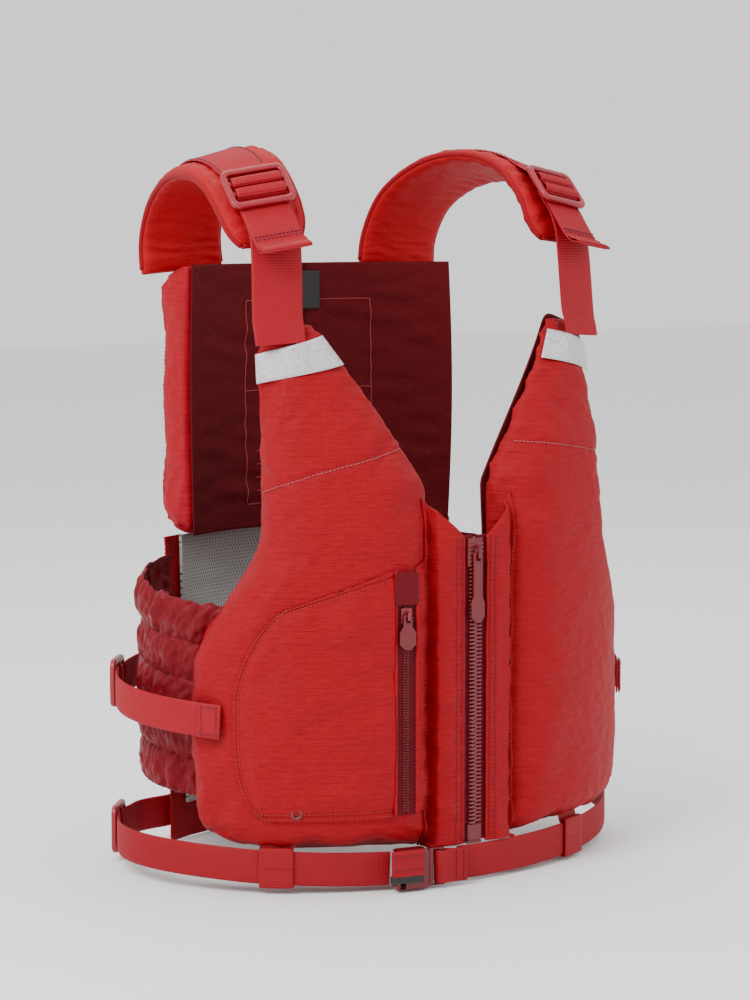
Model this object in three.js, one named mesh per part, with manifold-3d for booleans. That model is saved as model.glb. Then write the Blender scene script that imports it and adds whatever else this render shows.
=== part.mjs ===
import * as THREE from 'three';
import Module from 'manifold-3d';
import { mergeVertices } from 'three/addons/utils/BufferGeometryUtils.js';

// A high-backed touring buoyancy vest, shown as it sits when worn and fastened.
// Millimetres. +Z is up, the front faces -Y, and the wearer's left is +X.
// Places on the vest are given as an angle around the body (0 at the front, 180 at the back),
// a height, and a depth inwards from the outer face of the pads.

const degree = Math.PI / 180;
const gap = 0.4;               // clearance between pieces that touch

// the worn shape
const torsoHalfWidth = 207;
const torsoFront = 147;        // centre to the outer face in front
const torsoBack = 138;         // centre to the outer face behind
const shoulderLean = 41;       // how far the chest leans back at the top of the front panels

// heights
const cornerRise = 12;         // how much higher the side corner is
const zipTop = 257;
const frontInnerTop = 417;
const frontOuterTop = 406;
const armholeStart = 165;
const backPadBottom = 243;
const backPadTop = 452;
const hemHeight = 37;

// padded panels
const frontThickness = 38;
const shoulderThickness = 15;
const backThickness = 40;
const padRoll = 24;            // width of the rounded border of a pad
const fabric = 1.6;            // cover and lining, with their binding
const padSideAngle = 70.5;     // side edge of a front panel
const shoulderInnerAngle = 32;
const shoulderOuterAngle = 47;
const chestAngle = 51.5;       // armhole edge at mid chest
const placketInner = 11;       // zip side of the flat placket, from the centre line
const placketWidth = 23;
const placketDepth = 7;
const backPadAngle = 42.5;     // half of the back pad, from the back centre line

// lower back
const meshDepth = 17;
const meshThickness = 3;
const meshTopAngle = 43;
const meshBottomAngle = 40.5;
const borderWidth = 25;
const crossBandBottom = 146;

// side panels
const sideRearTop = 229;
const sideRearBottom = 76;
const sideFrontTop = 205;
const sideFrontBottom = 64;
const sideThickness = 5;

// webbing
const webThickness = 1.4;
const shoulderWeb = 38;
const narrowWeb = 25;
const sideStrapFront = 114;    // lower edge of the side strap on the front panel
const sideStrapRear = 124;
const beltBottom = 2.5;
const panelBottom = beltBottom + narrowWeb - 0.5; // lower edge of the front panels at the zip
const beltRise = 9;
const beltDepth = 6.5;
const lockAngle = 119;         // where the side and waist adjusters sit

// shoulders
const yokeThickness = 12;
const yokeRearWidth = 70;
const yokeFrontWidth = 60;

// adjusters: a frame with two bars
const lockThickness = 4;
const lockBar = 4;
const lockSlot = 6;
const lockRim = 5;
const lockSideRim = 4.5;
const lockPlay = 1.2;          // beside the webbing

// main zip
const zipBottom = panelBottom + 3;
const tapeThickness = 1;
const tapeWidth = 14.5;
const teethWidth = 4.6;
const teethThickness = 3.6;
const teethSlot = 1.6;         // between the two rows, for the slider's web
const zipSliderLength = 21;
const zipPullLength = 50;
const zipPullWidth = 12;

// pocket on the right panel
const pocketLift = 4;          // room behind the pocket front
const pocketZipAngle = -17.6;
const pocketZipBottom = 57;
const pocketZipTop = 233;
const pocketZipWidth = 17;
const garageHeight = 24;
const coilWidth = 2.2;
const coilThickness = 2;
const pocketSliderLength = 11;
const pocketPullLength = 24;
const pocketPullWidth = 12.5;
const eyeletAngle = -41;
const eyeletHeight = 61;
const eyeletRadius = 5;

// waist buckle
const buckleAngle = -12;
const buckleHeight = narrowWeb + 5;
const buckleThickness = 12;
const socketLength = 27;
const buckleWall = 2.2;
const plugBase = 13;
const prongLength = 20;

const colours = {
  red: 0xbb1f27, pad: 0xc8303a, lining: 0x6e0c14, mesh: 0xa8a6a2, maroon: 0x9c2f39,
  webbing: 0xc42b35, silver: 0xb9b3b1, foam: 0xd8d4c8, yoke: 0xbe2630, teeth: 0x932c37,
  plastic: 0xb02630, dark: 0x7a1820, black: 0x161616, belt: 0xba2830, metal: 0x9a8f8c,
};

const wasm = await Module();
wasm.setup();
const vest = new THREE.Group();

// ---------- helpers ----------

function addPiece(name, geometry, colour, roughness = 0.8, metalness = 0) {
  const material = new THREE.MeshStandardMaterial({ color: colour, roughness, metalness });
  const mesh = new THREE.Mesh(geometry, material);
  mesh.name = name;
  vest.add(mesh);
  return mesh;
}

const clamp = (value, low, high) => Math.min(Math.max(value, low), high);
const mix = (a, b, t) => a + (b - a) * t;
const ease = (t) => { const c = clamp(t, 0, 1); return c * c * (3 - 2 * c); };
const steps = (from, to, count) => Array.from({ length: count + 1 }, (_, i) => mix(from, to, i / count));

// the outward direction of the body at an angle
function outward(angle) {
  const reach = Math.cos(angle * degree) > 0 ? torsoFront : torsoBack;
  const [across, forwards] = [Math.sin(angle * degree), -Math.cos(angle * degree)];
  return new THREE.Vector3(across / torsoHalfWidth, forwards / reach, 0).normalize();
}

// a point of the body: an ellipse in plan whose front leans back above the zip
function torso(angle, height, depth = 0) {
  const forwards = Math.cos(angle * degree) > 0;
  const rise = clamp((height - zipTop) / (frontInnerTop - zipTop), 0, 1.1);
  const lean = forwards ? shoulderLean * rise ** 1.3 : 0;
  const reach = forwards ? torsoFront - lean : torsoBack;
  const point = new THREE.Vector3(
    torsoHalfWidth * Math.sin(angle * degree), -reach * Math.cos(angle * degree), height);
  return point.addScaledVector(outward(angle), -depth);
}

// the angle at which the body is a given distance to the side of the front centre line
const angleAcross = (distance) => Math.asin(distance / torsoHalfWidth) / degree;

// a right-handed frame on the body: x along the tangent, y up, z outwards
function frameOn(angle, height, depth = 0) {
  const z = outward(angle);
  const y = new THREE.Vector3(0, 0, 1);
  const x = new THREE.Vector3().crossVectors(y, z);
  return new THREE.Matrix4().makeBasis(x, y, z).setPosition(torso(angle, height, depth));
}

// turns a geometry's faces outwards if they point in
function facingOut(geometry) {
  const p = geometry.attributes.position;
  const index = geometry.index;
  const [a, b, c] = [new THREE.Vector3(), new THREE.Vector3(), new THREE.Vector3()];
  let volume = 0;
  for (let i = 0; i < index.count; i += 3) {
    a.fromBufferAttribute(p, index.getX(i));
    b.fromBufferAttribute(p, index.getX(i + 1));
    c.fromBufferAttribute(p, index.getX(i + 2));
    volume += a.dot(b.cross(c));
  }
  if (volume < 0) {
    for (let i = 0; i < index.count; i += 3) {
      const first = index.getX(i);
      index.setX(i, index.getX(i + 1));
      index.setX(i + 1, first);
    }
  }
  return geometry;
}

// a closed body between two grids of points of the same size
function solidBetween(front, back) {
  const rows = front.length;
  const columns = front[0].length;
  const at = (layer, i, j) => (layer * rows + i) * columns + j;
  const index = [];
  const quad = (a, b, c, d) => index.push(a, b, c, a, c, d);
  for (let i = 0; i + 1 < rows; i++) {
    for (let j = 0; j + 1 < columns; j++) {
      quad(at(0, i, j), at(0, i, j + 1), at(0, i + 1, j + 1), at(0, i + 1, j));
      quad(at(1, i, j), at(1, i + 1, j), at(1, i + 1, j + 1), at(1, i, j + 1));
    }
  }
  const rim = [];
  for (let j = 0; j < columns; j++) rim.push([0, j]);
  for (let i = 1; i < rows; i++) rim.push([i, columns - 1]);
  for (let j = columns - 2; j >= 0; j--) rim.push([rows - 1, j]);
  for (let i = rows - 2; i > 0; i--) rim.push([i, 0]);
  rim.forEach(([i, j], n) => {
    const [k, l] = rim[(n + 1) % rim.length];
    quad(at(0, i, j), at(1, i, j), at(1, k, l), at(0, k, l));
  });
  const geometry = new THREE.BufferGeometry();
  const points = [...front.flat(), ...back.flat()].flatMap((p) => [p.x, p.y, p.z]);
  geometry.setAttribute('position', new THREE.Float32BufferAttribute(points, 3));
  geometry.setIndex(index);
  return facingOut(geometry);
}

// the unit normals of a grid of points
function gridNormals(grid, sign) {
  const last = (list) => list.length - 1;
  return grid.map((row, i) => row.map((_, j) => {
    const along = new THREE.Vector3().subVectors(
      row[Math.min(j + 1, last(row))], row[Math.max(j - 1, 0)]);
    const up = new THREE.Vector3().subVectors(
      grid[Math.min(i + 1, last(grid))][j], grid[Math.max(i - 1, 0)][j]);
    return along.cross(up).normalize().multiplyScalar(sign);
  }));
}

// a sheet of even thickness behind a grid whose normals point outwards
function sheetBehind(grid, thickness, sign = 1) {
  const normals = gridNormals(grid, sign);
  const back = grid.map((row, i) => row.map(
    (p, j) => p.clone().addScaledVector(normals[i][j], -thickness)));
  return solidBetween(grid, back);
}

// a flat band along a path: each station has a point, its outward direction and the band's half width
function band(stations, width, thickness) {
  const corners = stations.map(({ point, out }, i) => {
    const before = stations[Math.max(i - 1, 0)].point;
    const after = stations[Math.min(i + 1, stations.length - 1)].point;
    const along = new THREE.Vector3().subVectors(after, before).normalize();
    const across = new THREE.Vector3().crossVectors(out, along).normalize();
    const face = new THREE.Vector3().crossVectors(along, across).normalize();
    const corner = (w, t) => point.clone()
      .addScaledVector(across, w * width / 2).addScaledVector(face, t * thickness / 2);
    return [[corner(-1, 1), corner(1, 1)], [corner(-1, -1), corner(1, -1)]];
  });
  return solidBetween(corners.map((c) => c[0]), corners.map((c) => c[1]));
}

// distances along a width, closely spaced in the rounded border at both ends
function padLines(length, roll, inner) {
  const r = Math.min(roll, 0.4 * length);
  const edge = [0, 0.22 * r, r];
  return [...edge, ...steps(r, length - r, inner).slice(1, -1),
    ...edge.map((d) => length - d).reverse()].map((d) => d / length);
}

// how full a pad is at a distance from its edge: a quarter ellipse over the rounded border
const fullness = (distance, roll) => Math.sqrt(1 - (1 - clamp(distance / roll, 0, 1)) ** 2);

// the cover, foam and lining of a pad. shape(s, t, depth, inset) gives its points, and
// size(s, t) gives the distances to the four edges and the thickness there
function padPieces(name, shape, measure, columns, rows, colour) {
  const widthAt = (t) => measure(t).width;
  const heights = padLines(measure(0.5).height, padRoll, rows);
  const layer = (depthOf, inset) => heights.map((t) => {
    const { width, height, thickness } = measure(t);
    return padLines(widthAt(t), padRoll, columns).map((s) => {
      const roll = Math.min(padRoll, 0.4 * width);
      const full = fullness(Math.min(s, 1 - s) * width, roll)
        * fullness(Math.min(t, 1 - t) * height, padRoll);
      return shape(inset / width + s * (1 - 2 * inset / width),
        inset / height + t * (1 - 2 * inset / height), depthOf(thickness, full));
    });
  });
  const cover = layer((thickness, full) => (thickness - 2 * fabric) * (1 - full), 0);
  const sign = Math.sign(outwardness(cover));
  addPiece(`${name}_cover`, sheetBehind(cover, fabric, sign), colour);
  const foamTop = layer((thickness, full) => mix(thickness - 3 * fabric, 2.6 * fabric, full), 5);
  const foamBack = layer((thickness) => thickness - 2 * fabric, 5);
  addPiece(`${name}_foam`, solidBetween(foamTop, foamBack), colours.foam);
  const lining = layer((thickness) => thickness - fabric + gap, 1);
  const liningBack = layer((thickness) => thickness, 1);
  addPiece(`${name}_lining`, solidBetween(lining, liningBack), colours.lining, 0.85);
}

// whether a grid's own normals point away from the body's axis
function outwardness(grid) {
  const i = Math.floor(grid.length / 2);
  const j = Math.floor(grid[0].length / 2);
  const normal = gridNormals(grid, 1)[i][j];
  return normal.x * grid[i][j].x + normal.y * grid[i][j].y;
}

// a merged solid for cutting and joining, and its geometry back again
function solidOf(geometry) {
  geometry.deleteAttribute('normal');
  geometry.deleteAttribute('uv');
  const merged = mergeVertices(geometry, 1e-4);
  return new wasm.Manifold(new wasm.Mesh({
    numProp: 3,
    vertProperties: new Float32Array(merged.attributes.position.array),
    triVerts: new Uint32Array(merged.index.array),
  }));
}

function geometryOf(solid) {
  const { vertProperties, triVerts, numProp } = solid.getMesh();
  const geometry = new THREE.BufferGeometry();
  const points = [];
  for (let i = 0; i < vertProperties.length; i += numProp) points.push(...vertProperties.slice(i, i + 3));
  geometry.setAttribute('position', new THREE.Float32BufferAttribute(points, 3));
  geometry.setIndex([...triVerts]);
  return geometry;
}

// a geometry with others cut out of it
function cut(geometry, cutters) {
  return geometryOf(cutters.reduce((solid, cutter) => solid.subtract(solidOf(cutter)), solidOf(geometry)));
}

function boxAt(width, height, depth, x = 0, y = 0, z = 0) {
  return new THREE.BoxGeometry(width, height, depth).translate(x, y, z);
}

function roundedOutline(target, width, height, radius) {
  const x = width / 2;
  const y = height / 2;
  target.moveTo(-x + radius, -y);
  target.lineTo(x - radius, -y).absarc(x - radius, -y + radius, radius, -Math.PI / 2, 0, false);
  target.lineTo(x, y - radius).absarc(x - radius, y - radius, radius, 0, Math.PI / 2, false);
  target.lineTo(-x + radius, y).absarc(-x + radius, y - radius, radius, Math.PI / 2, Math.PI, false);
  target.lineTo(-x, -y + radius).absarc(-x + radius, -y + radius, radius, Math.PI, 1.5 * Math.PI, false);
  return target;
}

function extruded(shape, depth, bevel = 0, curveSegments = 2) {
  return new THREE.ExtrudeGeometry(shape, {
    depth: depth - 2 * bevel, bevelEnabled: bevel > 0, bevelThickness: bevel, bevelSize: bevel,
    bevelOffset: -bevel, bevelSegments: 1, curveSegments, steps: 1,
  }).translate(0, 0, bevel - depth / 2);
}

function placed(mesh, matrix) {
  mesh.applyMatrix4(matrix);
  return mesh;
}

// ---------- front panels ----------

// the neckline: straight up the placket, then outwards to the shoulder
function neckAngle(height) {
  const t = clamp((height - zipTop) / (frontInnerTop - zipTop), 0, 1.2);
  return mix(angleAcross(placketInner), shoulderInnerAngle, t ** 1.1);
}

// the side edge, the armhole and the shoulder
function armholeAngle(height) {
  const side = padSideAngle + 3.5 * Math.sin(Math.PI * clamp((height - panelBottom) / 180, 0, 1));
  const chest = mix(chestAngle, shoulderOuterAngle,
    clamp((height - zipTop) / (frontOuterTop - zipTop), 0, 1.2));
  return mix(side, chest, ease((height - armholeStart) / (zipTop - armholeStart + 8)));
}

const padInnerAngle = (height) => Math.max(
  neckAngle(height), angleAcross(placketInner + placketWidth - 3));

function frontHeight(s, t) {
  const bottom = panelBottom + cornerRise * clamp((s - 0.55) / 0.45, 0, 1) ** 1.5;
  return mix(bottom, mix(frontInnerTop, frontOuterTop, s), t);
}

function frontPanel(side, name) {
  const shape = (s, t, depth) => {
    const height = frontHeight(s, t);
    const nominal = frontHeight(0, t);
    return torso(side * mix(padInnerAngle(nominal), armholeAngle(nominal), s), height, depth);
  };
  const measure = (t) => {
    const height = frontHeight(0, t);
    const span = armholeAngle(height) - padInnerAngle(height);
    return {
      width: span * degree * 0.9 * torsoHalfWidth,
      height: frontInnerTop - panelBottom,
      thickness: mix(frontThickness, shoulderThickness, ease((height - zipTop) / (frontInnerTop - zipTop))),
    };
  };
  padPieces(name, shape, measure, 4, 7, colours.red);
}

function placket(side, name) {
  const outer = placketInner + placketWidth;
  const grid = [0, 0.5, 1, 2].map((row) => steps(placketInner, outer, 2).map((x) => {
    const top = zipTop + (x - placketInner) * 0.9;
    const height = row > 1 ? top + 0.5 : mix(panelBottom + 2, zipTop, row);
    return torso(side * angleAcross(x), height, placketDepth);
  }));
  addPiece(name, sheetBehind(grid, fabric, side), colours.red);
}

function reflectiveBand(side, name) {
  const lower = (s) => 369 + 14 * (1 - s);
  const grid = steps(0, 1, 2).map((t) => steps(0.06, 0.94, 6).map((s) => {
    const height = lower(s) + t * 21;
    const angle = mix(neckAngle(height), armholeAngle(height), s);
    const width = (armholeAngle(height) - neckAngle(height)) * degree * 0.9 * torsoHalfWidth;
    const roll = Math.min(padRoll, 0.4 * width);
    const thickness = mix(frontThickness, shoulderThickness,
      ease((height - zipTop) / (frontInnerTop - zipTop)));
    const full = fullness(Math.min(s, 1 - s) * width, roll);
    return torso(side * angle, height, (thickness - 2 * fabric) * (1 - full) - 2.4);
  }));
  addPiece(name, sheetBehind(grid, 0.8, side), colours.silver, 0.45);
}

// ---------- back ----------

function backPad() {
  const halfAt = (t) => backPadAngle + 1.2 * Math.sin(Math.PI * t);
  const shape = (s, t, depth) => torso(
    180 + mix(-1, 1, s) * halfAt(t), mix(backPadBottom, backPadTop, t), depth);
  const measure = (t) => ({
    width: 2 * halfAt(t) * degree * 0.92 * torsoHalfWidth,
    height: backPadTop - backPadBottom,
    thickness: backThickness,
  });
  padPieces('back', shape, measure, 5, 5, colours.pad);
}

const meshTop = backPadBottom - 1.5;
const meshHalfAngle = (height) => mix(meshBottomAngle, meshTopAngle, height / meshTop);
const anglePerMillimetre = 1 / (degree * 0.88 * torsoHalfWidth);

function backSheet(lowAngle, highAngle, low, high, depth, columns, rows) {
  return steps(low, high, rows).map((height) => steps(0, 1, columns).map((s) => {
    const half = meshHalfAngle(height);
    return torso(180 + mix(lowAngle(half), highAngle(half), s), height, depth);
  }));
}

function lowerBack() {
  const inset = borderWidth * anglePerMillimetre;
  const meshInset = inset - 6 * anglePerMillimetre;
  const meshGrid = backSheet((h) => -h + meshInset, (h) => h - meshInset,
    hemHeight - 8, meshTop, meshDepth, 12, 5);
  addPiece('lower_back_mesh', sheetBehind(meshGrid, meshThickness), colours.mesh, 0.7);
  for (const [side, name] of [[-1, 'left'], [1, 'right']]) {
    const low = side < 0 ? (h) => -h : (h) => h - inset;
    const high = side < 0 ? (h) => -h + inset : (h) => h;
    const grid = backSheet(low, high, hemHeight + gap, meshTop, meshDepth - fabric - gap, 3, 6);
    addPiece(`lower_back_strip_${name}`, sheetBehind(grid, fabric), colours.red);
  }
  // an even width, so that its lower edge is flat
  const hemHalf = meshHalfAngle(hemHeight / 2);
  const hem = backSheet(() => -hemHalf, () => hemHalf, 0, hemHeight, meshDepth - fabric - gap, 15, 2);
  addPiece('lower_back_hem', sheetBehind(hem, fabric), colours.red);
  const bandInset = inset + 1.5 * anglePerMillimetre;
  const cross = backSheet((h) => -h + bandInset, (h) => h - bandInset,
    crossBandBottom, crossBandBottom + narrowWeb, meshDepth - fabric - gap, 12, 1);
  addPiece('lower_back_cross_band', sheetBehind(cross, fabric), colours.red);
}

// ---------- sides ----------

function sidePanel(side, name) {
  const rear = 180 - meshTopAngle - 0.6;
  const grid = steps(0, 1, 6).map((t) => steps(0, 1, 8).map((s) => {
    const height = mix(mix(sideFrontBottom, sideRearBottom, s), mix(sideFrontTop, sideRearTop, s), t);
    const front = armholeAngle(height) + 1.2;
    const bulge = 5 * Math.sin(Math.PI * s);
    return torso(side * mix(front, rear, s), height, mix(24, meshDepth, s) - bulge);
  }));
  addPiece(name, sheetBehind(grid, sideThickness, side), colours.maroon, 0.6);
}

// ---------- adjusters and the webbing threaded through them ----------

const lockLength = 2 * (lockRim + lockSlot + lockBar) + lockSlot;

function lockGeometry(webWidth) {
  const width = webWidth + 2 * (lockPlay + lockSideRim);
  const slotHeight = webWidth + 2 * lockPlay;
  const frame = extruded(roundedOutline(new THREE.Shape(), lockLength, width, 4.5), lockThickness, 0.8);
  return cut(frame, [-(lockBar + lockSlot), 0, lockBar + lockSlot]
    .map((x) => boxAt(lockSlot, slotHeight, 2 * lockThickness, x)));
}

// a strap's way up through the outer slot, over a bar and down the middle slot, as places
// along the adjuster and off its middle plane
const webOff = lockThickness / 2 + gap + webThickness / 2 + 0.3;
const barMiddle = (lockSlot + lockBar) / 2;
const overBar = [
  [lockLength / 2 - lockRim + 1, -webOff], [lockLength / 2 - lockRim - 2, -webOff + 0.7],
  [barMiddle + lockBar / 2 + 2.3, 0], [barMiddle + lockBar / 2 + 1.5, webOff - 1.1],
  [barMiddle + lockBar / 2 + 0.1, webOff + 0.1], [barMiddle, webOff + 0.3],
  [barMiddle - lockBar / 2 - 0.1, webOff + 0.1], [barMiddle - lockBar / 2 - 1.3, webOff - 1.2],
  [barMiddle - lockBar / 2 - 1.5, 0], [barMiddle - lockBar / 2 - 1.5, -webOff - 1],
];

const standOff = 6.5;          // adjuster's middle plane above the strap's path along the body
const lockDepth = 1 - standOff;

// stations of a strap that follows the body and then threads an adjuster
function threaded(frame, lead, direction) {
  const x = new THREE.Vector3();
  const y = new THREE.Vector3();
  const z = new THREE.Vector3();
  frame.extractBasis(x, y, z);
  const origin = new THREE.Vector3().setFromMatrixPosition(frame);
  const local = overBar.map(([u, w]) => origin.clone()
    .addScaledVector(x, direction * u).addScaledVector(z, w));
  const points = [...lead.map((station) => station.point), ...local];
  const outs = points.map((point, i) => {
    if (i < lead.length) return lead[i].out;
    const before = points[i - 1];
    const after = points[Math.min(i + 1, points.length - 1)];
    return new THREE.Vector3().subVectors(after, before).cross(y).multiplyScalar(-direction).normalize();
  });
  return points.map((point, i) => ({ point, out: outs[i] }));
}

function bodyStations(side, fromAngle, toAngle, heightOf, depth, count) {
  return steps(fromAngle, toAngle, count).map((angle) => ({
    point: torso(side * angle, heightOf(angle), depth), out: outward(side * angle),
  }));
}

// the stretch of webbing angle that an adjuster covers to one side of its middle
const lockReach = lockLength / 2 * anglePerMillimetre;

function sideAdjuster(side, heightOf, frontAngle, rearAngle, names) {
  const frame = frameOn(side * lockAngle, heightOf(lockAngle), lockDepth);
  placed(addPiece(names.lock, lockGeometry(narrowWeb), colours.plastic, 0.35), frame);
  const front = bodyStations(side, frontAngle, lockAngle - lockReach - 1, heightOf, -3, 9);
  addPiece(names.front, band(threaded(frame, front, -side), narrowWeb, webThickness), colours.webbing);
  const rear = bodyStations(side, rearAngle, lockAngle + lockReach + 1, heightOf, -2, 3);
  addPiece(names.rear, band(threaded(frame, rear, side), narrowWeb, webThickness), colours.webbing);
}

const beltMiddle = (angle) => beltBottom + narrowWeb / 2 + beltRise * ease(Math.abs(angle) / 100);

function sideStraps(side, name) {
  const middle = (angle) => narrowWeb / 2 + mix(sideStrapFront, sideStrapRear, (angle - 58) / 60);
  sideAdjuster(side, middle, 59, 180 - meshTopAngle + 4, {
    lock: `side_adjuster_${name}`, front: `side_strap_${name}`, rear: `side_anchor_${name}`,
  });
}

// ---------- waist belt ----------

const beltLoopAngle = { left: 31, right: 46 };

function beltLead(side, endAngle) {
  return steps(endAngle, lockAngle - lockReach - 1, 16).map((angle) => ({
    point: torso(side * angle, beltMiddle(angle), mix(beltDepth, -3, ease((angle - 60) / 40))),
    out: outward(side * angle),
  }));
}

function waistBelt(side, name, endAngle) {
  const height = beltMiddle(lockAngle);
  const frame = frameOn(side * lockAngle, height, lockDepth);
  placed(addPiece(`waist_adjuster_${name}`, lockGeometry(narrowWeb), colours.plastic, 0.35), frame);
  addPiece(`waist_belt_${name}`,
    band(threaded(frame, beltLead(side, endAngle), -side), narrowWeb, webThickness), colours.belt);
  const rear = steps(180 - meshBottomAngle + 4, lockAngle + lockReach + 1, 4).map((angle, i) => ({
    point: torso(side * angle, mix(beltMiddle(lockAngle) - 1, height, i / 4), mix(10, -2, ease(i / 3))),
    out: outward(side * angle),
  }));
  addPiece(`waist_anchor_${name}`,
    band(threaded(frame, rear, side), narrowWeb, webThickness), colours.belt);
}

// a webbing loop that hangs from the lining and holds the belt
function beltLoop(side, name, angle) {
  const inner = { thick: webThickness + 0.068 * narrowWeb, tall: 1.08 * narrowWeb };
  const wall = webThickness;
  const shape = new THREE.Shape();
  const x = inner.thick / 2 + wall;
  const y = inner.tall / 2 + wall;
  shape.moveTo(-x, -y).lineTo(x, -y).lineTo(x, y).lineTo(-x + 1.5 * wall, y);
  shape.lineTo(-x, y + 2).closePath();
  const geometry = cut(extruded(shape, narrowWeb), [boxAt(inner.thick, inner.tall, 2 * narrowWeb)]);
  const turn = new THREE.Matrix4().makeBasis(
    new THREE.Vector3(0, 0, 1), new THREE.Vector3(0, 1, 0), new THREE.Vector3(-1, 0, 0));
  geometry.applyMatrix4(turn);
  placed(addPiece(name, geometry, colours.belt),
    frameOn(side * angle, beltMiddle(angle), beltDepth));
}

// ---------- waist buckle ----------

const buckleMiddle = buckleHeight / 2 + gap;
// the right belt stops at the socket's face
const beltEnd = angleAcross(torsoHalfWidth * Math.sin(-buckleAngle * degree) + socketLength + 1.2);
const buckleFrame = frameOn(buckleAngle, buckleMiddle, 2);

function buckleSocket() {
  const outline = roundedOutline(new THREE.Shape(), socketLength, buckleHeight, 4);
  const body = solidOf(extruded(outline, buckleThickness, 1.5, 3));
  const cavity = solidOf(boxAt(socketLength, buckleHeight - 2 * buckleWall - 1,
    buckleThickness - 2 * buckleWall, 6, 0, 0));
  const webSlot = solidOf(boxAt(4.5, narrowWeb + 2, buckleThickness * 2, -socketLength / 2 + 5, 0, 0));
  const barCut = solidOf(boxAt(8, narrowWeb + 2, 6, -socketLength / 2 - 1, 0, -5));
  const geometry = geometryOf(body.subtract(cavity).subtract(webSlot).subtract(barCut));
  geometry.translate(-socketLength / 2, 0, 0);
  placed(addPiece('buckle_socket', geometry, colours.plastic, 0.3), buckleFrame);
}

function bucklePlug() {
  const arm = buckleHeight / 2 - buckleWall - 1;
  const shape = new THREE.Shape();
  shape.moveTo(gap, -buckleHeight / 2 + 1).lineTo(plugBase, -buckleHeight / 2 + 1);
  shape.lineTo(plugBase, buckleHeight / 2 - 1).lineTo(gap, buckleHeight / 2 - 1);
  shape.lineTo(gap, arm).lineTo(-prongLength + 6, arm).lineTo(-prongLength, arm - 3);
  shape.lineTo(-prongLength + 2, arm - 5).lineTo(gap - 2, arm - 5);
  shape.lineTo(gap - 2, 2).lineTo(-prongLength + 4, 2).lineTo(-prongLength + 2, 0);
  shape.lineTo(-prongLength + 4, -2).lineTo(gap - 2, -2).lineTo(gap - 2, -arm + 5);
  shape.lineTo(-prongLength + 2, -arm + 5).lineTo(-prongLength, -arm + 3);
  shape.lineTo(-prongLength + 6, -arm).lineTo(gap, -arm).closePath();
  const geometry = cut(extruded(shape, 5, 0.6), [boxAt(4.5, narrowWeb + 1.2, 10, 6.25)]);
  placed(addPiece('buckle_plug', geometry, colours.plastic, 0.3), buckleFrame);
}

// the sewn fold that holds the plug: over and under its bar, then flat against the belt
function plugLoop() {
  const off = 2.5 + gap + webThickness / 2 + 0.2;
  const path = [[31, 0.2], [20, 0.1], [15.3, -off + 0.8], [12.5, -off], [8.6, -off],
    [6.6, -off + 1.6], [6.2, 0],
    [6.6, off - 1.6], [8.6, off], [12.5, off], [15.6, off - 0.8], [20, 2], [31, 2.1]];
  const x = new THREE.Vector3();
  const y = new THREE.Vector3();
  const z = new THREE.Vector3();
  buckleFrame.extractBasis(x, y, z);
  const origin = new THREE.Vector3().setFromMatrixPosition(buckleFrame);
  const points = path.map(([u, w]) => origin.clone().addScaledVector(x, u).addScaledVector(z, w));
  const stations = points.map((point, i) => {
    const before = points[Math.max(i - 1, 0)];
    const after = points[Math.min(i + 1, points.length - 1)];
    return { point, out: new THREE.Vector3().subVectors(after, before).cross(y).normalize() };
  });
  addPiece('buckle_plug_web', band(stations, narrowWeb - 0.5, webThickness), colours.belt);
}

// the free end of the right belt: folded, stitched, and tipped with rubber
function beltTail() {
  const tail = extruded(roundedOutline(new THREE.Shape(), narrowWeb, 17, 1), 3);
  const tip = extruded(roundedOutline(new THREE.Shape(), narrowWeb + 1, 6, 1), 3.6);
  const out = buckleThickness / 2 + 2 + gap;
  placed(addPiece('belt_tail', tail, colours.belt), buckleFrame.clone()
    .multiply(new THREE.Matrix4().makeTranslation(-socketLength + 7, 6.5, out)));
  placed(addPiece('belt_tail_tip', tip, colours.black, 0.4), buckleFrame.clone()
    .multiply(new THREE.Matrix4().makeTranslation(-socketLength + 7, 6.5 - 8.5 - 3 - gap, out)));
}

// ---------- main zip ----------

const zipFrame = (height, depth) => frameOn(0, height, depth);
const tapeDepth = placketDepth + fabric + gap + 0.6;

function zipTape(side, name) {
  const x0 = teethSlot / 2;
  const shape = new THREE.Shape();
  shape.moveTo(x0, -teethThickness / 2).lineTo(x0 + teethWidth, -teethThickness / 2);
  shape.lineTo(x0 + teethWidth, -tapeThickness / 2).lineTo(x0 + tapeWidth, -tapeThickness / 2);
  shape.lineTo(x0 + tapeWidth, tapeThickness / 2).lineTo(x0 + teethWidth, tapeThickness / 2);
  shape.lineTo(x0 + teethWidth, teethThickness / 2).lineTo(x0, teethThickness / 2).closePath();
  const length = zipTop - zipBottom;
  const geometry = extruded(shape, length);
  geometry.applyMatrix4(new THREE.Matrix4().makeBasis(
    new THREE.Vector3(side, 0, 0), new THREE.Vector3(0, 0, 1), new THREE.Vector3(0, 1, 0)));
  const clean = facingOut(mergeVertices(bare(geometry)));
  placed(addPiece(name, clean, colours.teeth), zipFrame((zipTop + zipBottom) / 2, tapeDepth));
}

function bare(geometry) {
  geometry.deleteAttribute('normal');
  geometry.deleteAttribute('uv');
  return geometry;
}

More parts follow.
